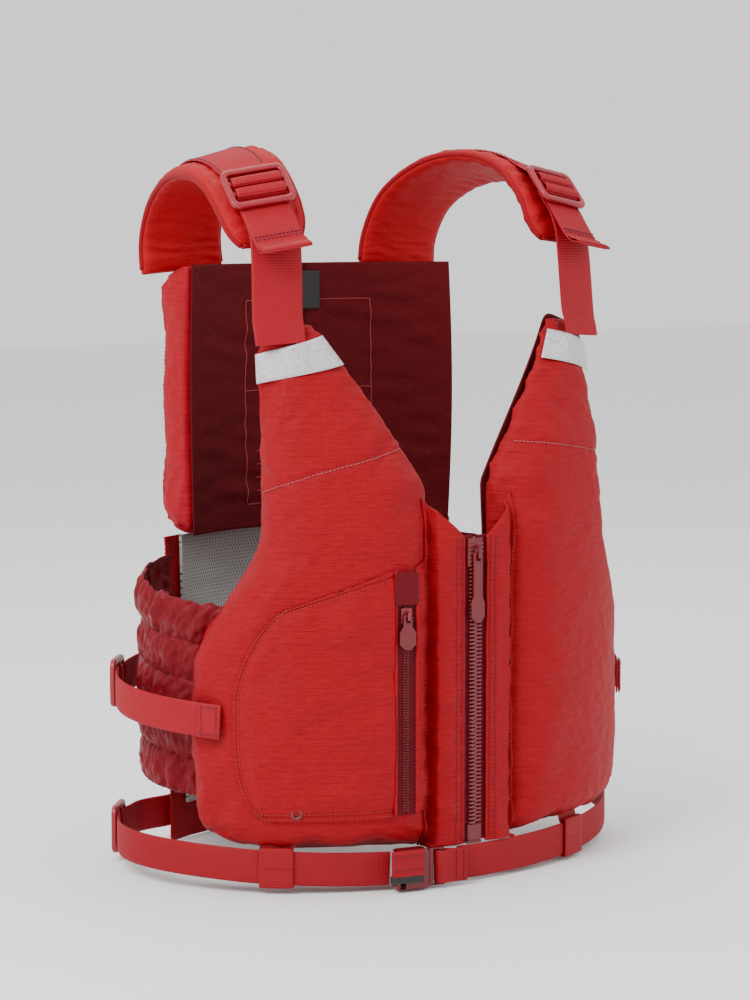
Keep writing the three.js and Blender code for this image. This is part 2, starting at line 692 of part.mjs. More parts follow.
// a slider: plates in front of and behind the rows, joined by a web between them
function sliderGeometry(length, width, rowThickness, slot, plate) {
  const inner = rowThickness / 2 + gap;
  const web = slot / 2 - gap + 0.05;
  const shape = new THREE.Shape();
  const w = width / 2;
  shape.moveTo(-w, inner - 0.9).lineTo(-w + 1, inner - 0.9).lineTo(-w + 1, inner).lineTo(-web, inner);
  shape.lineTo(-web, -inner).lineTo(-w, -inner).lineTo(-w, -inner - plate * 0.7);
  shape.lineTo(w, -inner - plate * 0.7).lineTo(w, -inner).lineTo(web, -inner).lineTo(web, inner);
  shape.lineTo(w - 1, inner).lineTo(w - 1, inner - 0.9).lineTo(w, inner - 0.9);
  shape.lineTo(w, inner + plate * 0.6).lineTo(w - 1.4, inner + plate).lineTo(-w + 1.4, inner + plate);
  shape.lineTo(-w, inner + plate * 0.6).closePath();
  const geometry = extruded(shape, length);
  return geometry.applyMatrix4(new THREE.Matrix4().makeBasis(
    new THREE.Vector3(1, 0, 0), new THREE.Vector3(0, 0, 1), new THREE.Vector3(0, -1, 0)));
}

// a bridge on the slider's face that the pull hangs from
function bridgeGeometry(plateTop, thickness, length, width) {
  const shape = new THREE.Shape();
  shape.moveTo(-length / 2, -0.2).lineTo(length / 2, -0.2).lineTo(length / 2 - 1.2, thickness + 3);
  shape.lineTo(-length / 2 + 1.2, thickness + 3).closePath();
  const opening = boxAt(length - 4.4, thickness + 1.2, 2 * width, 0, 1.1 + thickness / 2);
  const geometry = cut(extruded(shape, width), [opening]);
  return geometry.applyMatrix4(new THREE.Matrix4().makeBasis(
    new THREE.Vector3(0, 1, 0), new THREE.Vector3(0, 0, 1), new THREE.Vector3(1, 0, 0)))
    .translate(0, 0, plateTop);
}

const mainPlate = 2.2;
const mainPlateTop = teethThickness / 2 + gap + mainPlate;
const mainSliderWidth = 2 * teethWidth + teethSlot + 3;
const zipSliderMiddle = zipTop - zipSliderLength / 2 - 2;
const pullThickness = 2.4;
const mainBridge = { length: 11, width: 2.6 };

function mainSlider() {
  const body = solidOf(sliderGeometry(zipSliderLength, mainSliderWidth,
    teethThickness, teethSlot, mainPlate));
  const bridge = solidOf(bridgeGeometry(mainPlateTop, pullThickness, mainBridge.length, mainBridge.width));
  placed(addPiece('zip_slider', geometryOf(body.add(bridge)), colours.plastic, 0.35),
    zipFrame(zipSliderMiddle, tapeDepth));
}

// a pull: an eye round the slider's bridge, a narrow neck and a wide tab, hanging down
function pullGeometry(length, width, neck, eye, tab) {
  const shape = new THREE.Shape();
  const n = neck / 2;
  const w = width / 2;
  shape.moveTo(-n, 0).lineTo(-n, -(length - tab)).lineTo(-w, -(length - tab) - 4);
  shape.lineTo(-w, -length + 4).lineTo(-w + 4, -length).lineTo(w - 4, -length);
  shape.lineTo(w, -length + 4).lineTo(w, -(length - tab) - 4).lineTo(n, -(length - tab));
  shape.lineTo(n, 0).lineTo(n - 1.5, 2).lineTo(-n + 1.5, 2).closePath();
  return cut(extruded(shape, pullThickness, 0.4), [boxAt(eye, 4.1, 2 * pullThickness, 0, -2.05)]);
}

const pullOff = 0.5 + pullThickness / 2 + gap;

function mainPull() {
  const geometry = pullGeometry(zipPullLength, zipPullWidth, 8, mainBridge.width + 1.2, 19);
  placed(addPiece('zip_pull', geometry, colours.plastic, 0.4),
    zipFrame(zipSliderMiddle - 2.1, tapeDepth - mainPlateTop - pullOff));
}

function zipBox() {
  const box = solidOf(extruded(roundedOutline(new THREE.Shape(), 12.5, 13, 1.5), teethThickness + 4.4, 0.8));
  const slot = solidOf(boxAt(2 * tapeWidth + 4, 20, teethThickness + 2 * gap, 0, 3, 0));
  const front = box.subtract(slot.translate([0, -1.5 - 3, 0]));
  const foot = solidOf(boxAt(12.5, 2, teethThickness + 3, 0, -7.4, 0));
  placed(addPiece('zip_box', geometryOf(front.add(foot)), colours.plastic, 0.35),
    zipFrame(zipBottom + 6, tapeDepth));
}

// ---------- pocket ----------

// the pocket's outline as angles and heights: a straight zip side, a sloping top,
// a rounded outer edge and a level bottom
function pocketEdge(height) {
  const low = 54;
  const high = 214;
  const t = clamp((height - low) / (high - low), 0, 1);
  return -mix(46, 56, Math.sqrt(1 - Math.abs(2 * t - 1) ** 3.2)) + 5 * ease((t - 0.55) / 0.45);
}

const pocketDepth = -(pocketLift + fabric);
const halfPocketZip = pocketZipWidth / 2 * anglePerMillimetre;

function pocketFront() {
  const hang = (s, t) => {
    const edge = Math.min(1 - s, t, 1 - t);
    return mix(-fabric - 0.5, pocketDepth, ease(edge / 0.16));
  };
  const panel = (from, to, top) => steps(0, 1, 10).map((t) => padLines(100, 16, 4).map((s) => {
    const height = mix(54, top(s), t);
    const angle = mix(from, to(t), s);
    return torso(angle, height, hang(s, t));
  }));
  const outer = panel(pocketZipAngle - halfPocketZip,
    (t) => pocketEdge(mix(54, 214, t)), (s) => mix(236, 210, s));
  addPiece('pocket_front', sheetBehind(outer, fabric, -1), colours.red);
  const facing = steps(0, 1, 8).map((t) => steps(0, 1, 4).map((s) => {
    const seam = ease(Math.min(t, 1 - t) / 0.12) * ease(s / 0.7);
    return torso(
      mix(-angleAcross(placketInner + placketWidth + 2), pocketZipAngle + halfPocketZip, s),
      mix(57, mix(245, 238, s), t),
      mix(mix(placketDepth - fabric - 1, -fabric - 0.5, ease(s / 0.5)), pocketDepth, seam));
  }));
  addPiece('pocket_facing', sheetBehind(facing, fabric, -1), colours.red);
}

const pocketTapeDepth = -2.7;
const pocketFrame = (height, depth) => frameOn(pocketZipAngle, height, depth);

// both tapes of the pocket zip, sewn together past the two ends of the coil
function pocketTape() {
  const x0 = 0.7;
  const edge = x0 + coilWidth;
  const wide = pocketZipWidth / 2 - 0.4;
  const shape = new THREE.Shape();
  shape.moveTo(x0, -0.4).lineTo(wide, -0.4).lineTo(wide, 0.4).lineTo(edge, 0.4);
  shape.lineTo(edge, coilThickness).lineTo(x0, coilThickness).closePath();
  const length = pocketZipTop - pocketZipBottom;
  const half = (side) => {
    const geometry = extruded(shape, length);
    geometry.applyMatrix4(new THREE.Matrix4().makeBasis(
      new THREE.Vector3(side, 0, 0), new THREE.Vector3(0, 0, 1), new THREE.Vector3(0, 1, 0)));
    return solidOf(facingOut(mergeVertices(bare(geometry))));
  };
  const end = (y) => solidOf(boxAt(2 * edge, 3, 0.8, 0, y, 0));
  const joined = half(1).add(half(-1)).add(end(length / 2 - 1.5)).add(end(1.5 - length / 2));
  placed(addPiece('pocket_zip_tape', geometryOf(joined), colours.maroon),
    pocketFrame((pocketZipTop + pocketZipBottom) / 2, pocketTapeDepth));
}

const pocketSliderMiddle = pocketZipTop - garageHeight - pocketSliderLength / 2 - gap;
const pocketPlateTop = coilThickness + gap + 1.4;
const pocketBridge = { length: 8, width: 2 };

function pocketSlider() {
  const w = coilWidth + 2;
  const plates = solidOf(boxAt(2 * w, pocketSliderLength, 1.4, 0, 0, coilThickness + gap + 0.7))
    .add(solidOf(boxAt(0.6, pocketSliderLength, coilThickness + 2.4, 0, 0, 0.6)))
    .add(solidOf(boxAt(2 * w, pocketSliderLength, 1, 0, 0, -0.4 - gap - 0.5)));
  const bridge = solidOf(bridgeGeometry(
    pocketPlateTop, pullThickness, pocketBridge.length, pocketBridge.width));
  placed(addPiece('pocket_zip_slider', geometryOf(plates.add(bridge)), colours.metal, 0.35, 0.4),
    pocketFrame(pocketSliderMiddle, pocketTapeDepth));
}

function pocketPull() {
  const geometry = pullGeometry(pocketPullLength, pocketPullWidth, 7, pocketBridge.width + 1.2, 17);
  placed(addPiece('pocket_zip_pull', geometry, colours.dark, 0.45),
    pocketFrame(pocketSliderMiddle - 0.8, pocketTapeDepth - pocketPlateTop - pullOff));
}

function pocketGarage() {
  const tab = extruded(roundedOutline(new THREE.Shape(), pocketZipWidth + 1, garageHeight, 1.5), 1.2);
  placed(addPiece('pocket_zip_garage', tab, colours.dark),
    pocketFrame(pocketZipTop - garageHeight / 2 + 2, pocketDepth - 0.6 - gap - 0.6));
}

function drainEyelet() {
  const profile = [[2, -0.6], [eyeletRadius, -0.6], [eyeletRadius, 0], [eyeletRadius - 1, 1],
    [3, 1], [2, 0.4], [2, -0.6]].map(([r, z]) => new THREE.Vector2(r, z));
  const ring = new THREE.LatheGeometry(profile, 18).rotateX(Math.PI / 2);
  placed(addPiece('drain_eyelet', facingOut(mergeVertices(bare(ring))), colours.dark, 0.4),
    frameOn(eyeletAngle, eyeletHeight, -2.2 - pocketLift * 0.9));
}

// ---------- shoulders ----------

// the middle line of a shoulder yoke, from the back pad over the shoulder to its front end, as its
// share of the body's half width and reach, its height above the back pad, and its outward roll
const yokeLine = [
  [0.483, 0.855, -6, 0], [0.493, 0.848, 18, 3], [0.512, 0.725, 48, 8], [0.551, 0.449, 70, 12],
  [0.589, 0.130, 76, 16], [0.618, -0.150, 67, 19], [0.628, -0.340, 44, 22], [0.628, -0.449, 18, 22],
];
const yokeCurve = new THREE.CatmullRomCurve3(yokeLine.map(([x, y, rise]) => new THREE.Vector3(
  x * torsoHalfWidth, y * (y < 0 ? torsoFront : torsoBack), backPadTop + rise)));

function yokeFrame(t) {
  const point = yokeCurve.getPoint(t);
  const along = yokeCurve.getTangent(t);
  const place = clamp(t, 0, 1) * (yokeLine.length - 1);
  const low = Math.min(Math.floor(place), yokeLine.length - 2);
  const roll = mix(yokeLine[low][3], yokeLine[low + 1][3], place - low) * degree;
  const across = new THREE.Vector3(Math.cos(roll), 0, -Math.sin(roll));
  across.addScaledVector(along, -across.dot(along)).normalize();
  const out = new THREE.Vector3().crossVectors(along, across).normalize();
  return { point, along, across, out };
}

const mirrored = (side, p) => new THREE.Vector3(side * p.x, p.y, p.z);

function yoke(side, name) {
  const layer = (sign) => padLines(yokeCurve.getLength(), 14, 10).map((t) => {
    const { point, across, out } = yokeFrame(t);
    const full = mix(yokeRearWidth, yokeFrontWidth, t);
    const round = Math.sqrt(1 - clamp((t - 0.9) / 0.115, 0, 1) ** 2);
    const width = full * mix(0.45, 1, round);
    return padLines(width, 9, 2).map((s) => {
      const puff = fullness(Math.min(s, 1 - s) * width, 9) * fullness(Math.min(t, 1 - t) * 230, 12);
      const half = mix(2, yokeThickness / 2, puff);
      return mirrored(side, point.clone()
        .addScaledVector(across, (s - 0.5) * width).addScaledVector(out, sign * half));
    });
  });
  addPiece(name, solidBetween(layer(1), layer(-1)), colours.yoke);
}

const lockPlace = 0.83;
const yokeOff = yokeThickness / 2 + gap + webThickness / 2;
const shoulderLockOff = yokeOff + standOff + 1;

function shoulderLockFrame(side) {
  const { point, along, across, out } = yokeFrame(lockPlace);
  const x = mirrored(side, along);
  const z = mirrored(side, out);
  const y = new THREE.Vector3().crossVectors(z, x);
  const origin = mirrored(side, point.clone().addScaledVector(out, shoulderLockOff));
  return new THREE.Matrix4().makeBasis(x, y, z).setPosition(origin);
}

function shoulderWebbing(side, name) {
  const frame = shoulderLockFrame(side);
  const lead = steps(0.03, lockPlace - 0.11, 15).map((t) => {
    const { point, out } = yokeFrame(t);
    return { point: mirrored(side, point.clone().addScaledVector(out, yokeOff)), out: mirrored(side, out) };
  });
  addPiece(name, band(threaded(frame, lead, -1), shoulderWeb, webThickness), colours.webbing);
}

function shoulderAdjuster(side, name) {
  placed(addPiece(name, lockGeometry(shoulderWeb), colours.plastic, 0.35), shoulderLockFrame(side));
}

// the front strap: sewn to the top of the panel, up behind the adjuster, round its lower bar,
// and down again as a tail with a turned end
function shoulderStrap(side, name) {
  const frame = shoulderLockFrame(side);
  const x = new THREE.Vector3();
  const y = new THREE.Vector3();
  const z = new THREE.Vector3();
  frame.extractBasis(x, y, z);
  const origin = new THREE.Vector3().setFromMatrixPosition(frame);
  const local = (u, w) => origin.clone().addScaledVector(x, u).addScaledVector(z, w);
  const topAngle = (shoulderInnerAngle + shoulderOuterAngle) / 2 + 0.5;
  const panel = (height, off) => torso(side * topAngle, height, -off);
  const sewn = [panel(frontOuterTop, 2.6), panel(frontInnerTop - 2, 2.2)];
  const under = -webOff - webThickness - gap - 0.4;
  const points = [...sewn, local(40, under - 4), local(24, under), local(14, under), local(8, under),
    local(3.6, under + 0.5), local(1.9, -2.4), local(1.5, 0),
    ...overBar.slice(3, 8).reverse().map(([u, w]) => local(u, w)),
    local(barMiddle + lockBar / 2 + 2.3, 0), local(lockLength / 2 - lockRim - 2, -webOff + 0.7),
    local(lockLength / 2 - lockRim + 1, -webOff), local(lockLength / 2 + 3, -webOff),
    local(34, -webOff - 1), local(50, -webOff - 1), local(58, -webOff + 1), local(64, -webOff + 6)];
  const stations = points.map((point, i) => {
    const before = points[Math.max(i - 1, 0)];
    const after = points[Math.min(i + 1, points.length - 1)];
    return { point, out: new THREE.Vector3().subVectors(after, before).cross(y).normalize() };
  });
  addPiece(name, band(stations, shoulderWeb, webThickness), colours.webbing);
}

function neckTag() {
  const tag = extruded(roundedOutline(new THREE.Shape(), 26, 30, 2), 1.2);
  placed(addPiece('neck_tag', tag, colours.black, 0.6),
    frameOn(180, backPadTop - 22, backThickness + gap + 2));
}

// ---------- the vest ----------

for (const [side, name] of [[-1, 'right'], [1, 'left']]) {
  frontPanel(side, `front_${name}`);
  placket(side, `placket_${name}`);
  reflectiveBand(side, `reflective_band_${name}`);
  sidePanel(side, `side_panel_${name}`);
  sideStraps(side, name);
  yoke(side, `shoulder_yoke_${name}`);
  shoulderWebbing(side, `shoulder_webbing_${name}`);
  shoulderAdjuster(side, `shoulder_adjuster_${name}`);
  shoulderStrap(side, `shoulder_strap_${name}`);
  zipTape(side, `zip_tape_${name}`);
}
waistBelt(-1, 'right', beltEnd);
waistBelt(1, 'left', -4.5);
beltLoop(-1, 'belt_loop_right', beltLoopAngle.right);
beltLoop(1, 'belt_loop_left', beltLoopAngle.left);
backPad();
lowerBack();
buckleSocket();
bucklePlug();
plugLoop();
beltTail();
mainSlider();
mainPull();
zipBox();
pocketFront();
pocketTape();
pocketSlider();
pocketPull();
pocketGarage();
drainEyelet();
neckTag();

// the origin is the middle of the box round the whole vest, at its lowest point
const box = new THREE.Box3().setFromObject(vest, true);
const middle = box.getCenter(new THREE.Vector3());
const centring = new THREE.Matrix4().makeTranslation(-middle.x, -middle.y, -box.min.z);
for (const piece of vest.children) piece.applyMatrix4(centring);

export default vest;
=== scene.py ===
import math

import bmesh
import bpy
import numpy as np
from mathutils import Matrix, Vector
from mathutils.bvhtree import BVHTree


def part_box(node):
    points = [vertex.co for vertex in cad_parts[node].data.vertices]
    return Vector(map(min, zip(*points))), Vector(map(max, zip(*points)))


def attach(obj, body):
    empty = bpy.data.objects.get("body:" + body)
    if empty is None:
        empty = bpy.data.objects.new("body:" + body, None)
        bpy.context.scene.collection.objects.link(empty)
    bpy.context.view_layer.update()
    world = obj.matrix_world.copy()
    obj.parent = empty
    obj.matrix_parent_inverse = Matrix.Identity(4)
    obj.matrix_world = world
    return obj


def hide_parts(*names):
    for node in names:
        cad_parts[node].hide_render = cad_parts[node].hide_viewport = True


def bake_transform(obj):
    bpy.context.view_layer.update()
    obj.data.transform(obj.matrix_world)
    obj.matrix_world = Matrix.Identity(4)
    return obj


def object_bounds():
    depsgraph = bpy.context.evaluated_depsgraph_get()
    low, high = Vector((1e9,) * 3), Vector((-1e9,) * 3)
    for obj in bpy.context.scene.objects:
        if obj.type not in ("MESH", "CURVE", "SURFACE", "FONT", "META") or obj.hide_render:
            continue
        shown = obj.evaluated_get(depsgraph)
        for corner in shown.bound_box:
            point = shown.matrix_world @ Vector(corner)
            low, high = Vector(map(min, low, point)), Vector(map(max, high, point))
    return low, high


# A high-backed touring buoyancy vest, worn and fastened, dressed over its CAD frame.
# Metres, +Z up, the front faces -Y and the wearer's left is +X. Places on the body are an angle
# round it in degrees (0 in front, 180 behind), a height and a depth inwards from the outer face.

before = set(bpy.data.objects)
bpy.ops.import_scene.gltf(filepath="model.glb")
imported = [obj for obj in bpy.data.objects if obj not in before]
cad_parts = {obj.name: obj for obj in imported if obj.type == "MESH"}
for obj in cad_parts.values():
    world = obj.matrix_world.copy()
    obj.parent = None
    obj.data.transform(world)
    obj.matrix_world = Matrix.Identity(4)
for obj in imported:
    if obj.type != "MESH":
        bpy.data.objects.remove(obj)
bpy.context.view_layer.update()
print("stage: frame loaded")

halfWidth, frontReach, backReach = 0.207, 0.147, 0.138
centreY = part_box("back_cover")[1][1] - backReach
zipTop, panelBottom, innerTop, outerTop = 0.257, 0.027, 0.417, 0.406
upwards = np.array([0.0, 0.0, 1.0])
fullTurn = 2 * math.pi
perMetre = 1 / (math.radians(1) * 0.88 * halfWidth)  # degrees round the body in one metre
narrowWeb = 0.025


def unit(v):
    return v / np.maximum(np.linalg.norm(v, axis=-1, keepdims=True), 1e-12)


def share(x, low, high):
    return np.clip((x - low) / (high - low), 0, 1)


def ease(t):
    t = np.clip(t, 0, 1)
    return t * t * (3 - 2 * t)


def mix(a, b, t):
    return a + (b - a) * t


# a smooth random field: waves of about the given length in random directions, longer along v by stretch
def ripple(u, v, length, seed, stretch=1.0, waves=7):
    pick = np.random.default_rng(seed)
    total = 0.0
    for _ in range(waves):
        turn, wave, phase = pick.uniform(0, math.pi), length * pick.uniform(0.7, 1.6), pick.uniform(0, 6.28)
        total = total + np.sin(6.2832 * (u * math.cos(turn) + v / stretch * math.sin(turn)) / wave + phase)
    return total / math.sqrt(waves)


def outward(angle):
    a = np.radians(angle)
    reach = np.where(np.cos(a) > 0, frontReach, backReach)
    return unit(np.stack([np.sin(a) / halfWidth, -np.cos(a) / reach, 0 * a], -1))


# a point of the body: an ellipse in plan whose front leans back above the zip
def torso(angle, height, depth=0.0):
    angle, height, depth = np.broadcast_arrays(np.asarray(angle, float), height, depth)
    a = np.radians(angle)
    lean = 0.041 * np.clip((height - zipTop) / (innerTop - zipTop), 0, 1.1) ** 1.3
    reach = np.where(np.cos(a) > 0, frontReach - lean, backReach)
    point = np.stack([halfWidth * np.sin(a), centreY - reach * np.cos(a), height], -1)
    return point - outward(angle) * depth[..., None]


def angleAcross(distance):
    return np.degrees(np.arcsin(np.asarray(distance) / halfWidth))


# angle round the body and height of points near it
def placeOf(points):
    y = points[:, 1] - centreY
    lean = 0.041 * np.clip((points[:, 2] - zipTop) / (innerTop - zipTop), 0, 1.1) ** 1.3
    reach = np.where(y < 0, frontReach - lean, backReach)
    return np.degrees(np.arctan2(points[:, 0] / halfWidth, -y / reach)), points[:, 2]


# flat coordinates of the cloth: distance round the body and height
def flatOf(points):
    angle, height = placeOf(points)
    return np.stack([np.radians(angle) * 0.19, height], -1)


def frameOn(angle, height, depth):
    z = outward(angle)
    return torso(angle, height, depth), np.cross(upwards, z), upwards, z


def neckAngle(height):
    return mix(angleAcross(0.011), 32, np.clip((height - zipTop) / (innerTop - zipTop), 0, 1.2) ** 1.1)


def armholeAngle(height):
    side = 70.5 + 3.5 * np.sin(math.pi * share(height, panelBottom, panelBottom + 0.18))
    chest = mix(51.5, 47, np.clip((height - zipTop) / (outerTop - zipTop), 0, 1.2))
    return mix(side, chest, ease((height - 0.165) / 0.1))


def padInnerAngle(height):
    return np.maximum(neckAngle(height), angleAcross(0.031))


def frontHeight(s, t):
    bottom = panelBottom + 0.012 * np.clip((s - 0.55) / 0.45, 0, 1) ** 1.5
    return mix(bottom, mix(innerTop, outerTop, s), t)


def frontThickness(height):
    return mix(0.038, 0.015, ease((height - zipTop) / (innerTop - zipTop)))


def fullness(distance, roll):
    return np.sqrt(1 - (1 - np.clip(distance / roll, 0, 1)) ** 2)


# rows x columns x 3 points as a patch of quads; wrap closes it on itself along its columns
def gridPatch(points, uv=None, wrap=False):
    rows, columns = points.shape[:2]
    index = np.arange(rows * columns).reshape(rows, columns)
    if uv is None:
        down = np.cumsum(np.r_[0, np.linalg.norm(np.diff(points[:, columns // 2], axis=0), axis=-1)])
        over = np.cumsum(np.r_[0, np.linalg.norm(np.diff(points[rows // 2], axis=0), axis=-1)])
        uv = np.stack(np.meshgrid(over, down), -1)
    if wrap:
        index = np.concatenate([index, index[:, :1]], 1)
    faces = np.stack([index[:-1, :-1], index[:-1, 1:], index[1:, 1:], index[1:, :-1]], -1).reshape(-1, 4)
    return points.reshape(-1, 3), faces, uv.reshape(-1, 2)


# a closed skin between a front and a back grid of the same size whose rims meet
def pillowPatches(front, back):
    return [gridPatch(front), gridPatch(back)]


def build(name, patches, material, weld=0.0, flat=False):
    points, faces, uv, start = [], [], [], 0
    for p, f, u in patches:
        points.append(p)
        faces.append(f + start)
        uv.append(u)
        start += len(p)
    points, faces, uv = np.concatenate(points), np.concatenate(faces), np.concatenate(uv)
    mesh = bpy.data.meshes.new(name)
    mesh.vertices.add(len(points))
    mesh.vertices.foreach_set("co", points.astype(np.float32).ravel())
    mesh.loops.add(faces.size)
    mesh.loops.foreach_set("vertex_index", faces.astype(np.int32).ravel())
    mesh.polygons.add(len(faces))
    mesh.polygons.foreach_set("loop_start", np.arange(0, faces.size, 4, dtype=np.int32))
    mesh.update(calc_edges=True)
    layer = mesh.uv_layers.new(name="flat")
    layer.data.foreach_set("uv", (flatOf(points) if flat else uv)[faces.ravel()].astype(np.float32).ravel())
    shape = bmesh.new()
    shape.from_mesh(mesh)
    if weld:
        bmesh.ops.remove_doubles(shape, verts=shape.verts, dist=weld)
    bmesh.ops.recalc_face_normals(shape, faces=shape.faces)
    shape.to_mesh(mesh)
    shape.free()
    mesh.polygons.foreach_set("use_smooth", np.ones(len(mesh.polygons), bool))
    mesh.materials.append(material)
    obj = bpy.data.objects.new(name, mesh)
    bpy.context.scene.collection.objects.link(obj)
    return obj


def points(obj):
    co = np.empty(len(obj.data.vertices) * 3, np.float32)
    obj.data.vertices.foreach_get("co", co)
    return co.reshape(-1, 3).astype(float)


def setPoints(obj, co):
    obj.data.vertices.foreach_set("co", co.astype(np.float32).ravel())
    obj.data.update()


def normals(obj):
    n = np.empty(len(obj.data.vertices) * 3, np.float32)
    obj.data.vertices.foreach_get("normal", n)
    return n.reshape(-1, 3).astype(float)


def modify(obj, kind, **settings):
    made = obj.modifiers.new(kind.lower(), kind)
    for key, value in settings.items():
        setattr(made, key, value)
    return made


# replaces an object's mesh with what its modifiers make of it
def apply(obj):
    graph = bpy.context.evaluated_depsgraph_get()
    mesh = bpy.data.meshes.new_from_object(obj.evaluated_get(graph))
    obj.modifiers.clear()
    obj.data = mesh
    mesh.polygons.foreach_set("use_smooth", np.ones(len(mesh.polygons), bool))
    return obj


def flatten(obj):
    mesh = obj.data
    layer = mesh.uv_layers.get("flat") or mesh.uv_layers.new(name="flat")
    loops = np.empty(len(mesh.loops), np.int32)
    mesh.loops.foreach_get("vertex_index", loops)
    layer.data.foreach_set("uv", flatOf(points(obj))[loops].astype(np.float32).ravel())


def solid(obj, thickness, offset=0.0):
    modify(obj, "SOLIDIFY", thickness=thickness, offset=offset)
    return obj


def place(obj, body="vest", nodes=(), slot=None):
    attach(obj, body)
    if nodes:
        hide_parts(*nodes)
    return obj


# a sheet's cut size, from the middle lines of its grid
def cutSize(grid):
    length = np.linalg.norm(np.diff(grid, axis=0), axis=-1).sum(0).mean()
    width = np.linalg.norm(np.diff(grid, axis=1), axis=-1).sum(1).mean()
    return float(width), float(length)


# the skin of a finished piece, for laying other pieces on it
class Surface:
    def __init__(self, obj):
        graph = bpy.context.evaluated_depsgraph_get()
        self.tree = BVHTree.FromObject(obj, graph)

    # where lines drawn inwards at these angles and heights meet the skin, lifted off it
    def at(self, angle, height, lift=0.0, fallback=0.0):
        angle, height = np.broadcast_arrays(np.asarray(angle, float), height)
        start, way = torso(angle, height, -0.04), -outward(angle)
        found, facing = torso(angle, height, fallback), outward(angle)
        for place in np.ndindex(angle.shape):
            spot, normal, _, _ = self.tree.ray_cast(Vector(start[place]), Vector(way[place]), 0.075)
            if spot is not None:
                found[place], facing[place] = spot, normal
        return found + facing * lift, facing


# evenly spaced points of a smooth curve through the given ones: centripetal Catmull-Rom
def curveAt(knots, t):
    knots = np.asarray(knots, float)
    ends = np.concatenate([[2 * knots[0] - knots[1]], knots, [2 * knots[-1] - knots[-2]]])
    place = np.clip(np.asarray(t, float), 0, 1) * (len(knots) - 1)
    low = np.minimum(place.astype(int), len(knots) - 2)
    w = (place - low)[:, None]
    p0, p1, p2, p3 = (ends[low + i] for i in range(4))
    gaps = [np.maximum(np.linalg.norm(b - a, axis=-1, keepdims=True), 1e-9) ** 0.5
            for a, b in ((p0, p1), (p1, p2), (p2, p3))]
    d0, d1, d2 = gaps
    m1 = ((p1 - p0) / d0 - (p2 - p0) / (d0 + d1) + (p2 - p1) / d1) * d1
    m2 = ((p2 - p1) / d1 - (p3 - p1) / (d1 + d2) + (p3 - p2) / d2) * d1
    return p1 + m1 * w + (-3 * p1 + 3 * p2 - 2 * m1 - m2) * w ** 2 + (2 * p1 - 2 * p2 + m1 + m2) * w ** 3


# a smooth path through knots at an even spacing, with values carried along it
def evenly(knots, spacing, *carried):
    knots = np.asarray(knots, float)
    t = np.linspace(0, 1, 24 * len(knots))
    fine = curveAt(knots, t)
    run = np.r_[0, np.cumsum(np.linalg.norm(np.diff(fine, axis=0), axis=-1))]
    count = max(3, int(round(run[-1] / spacing)) + 1)
    even = np.interp(np.linspace(0, run[-1], count), run, t)
    made = [curveAt(knots, even)]
    for values in carried:
        values = np.broadcast_to(np.asarray(values, float), (len(knots), 3))
        at = even * (len(knots) - 1)
        made.append(unit(np.stack([np.interp(at, np.arange(len(knots)), values[:, k]) for k in range(3)],
                                  -1)))
    return made[0] if not carried else made


# a closed loop section swept along a path: the section's x runs along across and its y along out
def sweep(path, across, section, cap=True):
    along = unit(np.gradient(path, axis=0))
    side = unit(across - (across * along).sum(-1, keepdims=True) * along)
    out = np.cross(along, side)
    section = np.broadcast_to(section, (len(path),) + section.shape[-2:])
    grid = path[:, None] + side[:, None] * section[..., :1] + out[:, None] * section[..., 1:]
    vertices, faces, uv = gridPatch(grid, wrap=True)
    if cap:
        m = grid.shape[1]
        half = m // 2
        near = np.arange(half - 1)
        lid = np.stack([near, near + 1, m - 2 - near, m - 1 - near], -1)
        faces = np.concatenate([faces, lid, lid + (len(path) - 1) * m])
    return vertices, faces, uv


# a flat rounded section: across its top from one side to the other, then back underneath
def flatSection(width, thickness, count=8, power=5.0):
    u = np.sin(np.linspace(-0.5, 0.5, count) * math.pi) * 0.998
    h = thickness / 2 * (1 - np.abs(u) ** power) ** (1 / power)
    top, low = np.stack([u * width / 2, h], -1), np.stack([u * width / 2, -h], -1)
    return np.concatenate([top, low[::-1]])


# webbing: a flat section whose thickness swells with each weft thread, a cosine along the path
def webbing(knots, across, width, thickness=0.0015, rib=0.002, depth=0.00016):
    path, side = evenly(knots, rib / 4, across)
    run = np.arange(len(path)) * rib / 4
    swell = 1 + 2 * depth / thickness * np.cos(6.2832 * run / rib)
    base = flatSection(width, thickness)
    section = np.stack([np.broadcast_to(base[:, 0], (len(path), len(base))), swell[:, None] * base[:, 1]],
                       -1)
    return sweep(path, side, section)


def tube(knots, radius, spacing=0.003, sides=8, across=None):
    path = evenly(knots, spacing)
    turn = np.linspace(0, fullTurn, sides, endpoint=False)
    section = np.stack([radius * np.cos(turn), radius * np.sin(turn)], -1)
    return sweep(path, np.broadcast_to(across if across is not None else np.array([0.3, 0.5, 0.8]),
                                       path.shape), section)


# stitches: short ellipsoids end to end along a line that lies on a skin
def stitches(knots, facing, pitch=0.0032, length=0.0025, radius=0.00042):
    path, out = evenly(knots, pitch, facing)
    along = unit(np.gradient(path, axis=0))
    side = np.cross(along, out)
    ring = np.linspace(0, fullTurn, 6, endpoint=False)
    rise = np.array([-1, -0.7, 0, 0.7, 1.0])
    girth = np.array([0.15, 0.75, 1, 0.75, 0.15])
    spots = (path[:, None, None] + along[:, None, None] * (rise * length / 2)[None, :, None, None]
             + side[:, None, None] * (girth[:, None] * np.cos(ring) * radius)[None, ..., None]
             + out[:, None, None] * (girth[:, None] * np.sin(ring) * radius)[None, ..., None])
    index = np.arange(30).reshape(5, 6)
    index = np.concatenate([index, index[:, :1]], 1)
    one = np.stack([index[:-1, :-1], index[:-1, 1:], index[1:, 1:], index[1:, :-1]], -1).reshape(-1, 4)
    faces = (one[None] + (np.arange(len(path)) * 30)[:, None, None]).reshape(-1, 4)
    vertices = spots.reshape(-1, 3)
    return vertices, faces, vertices[:, [0, 2]]


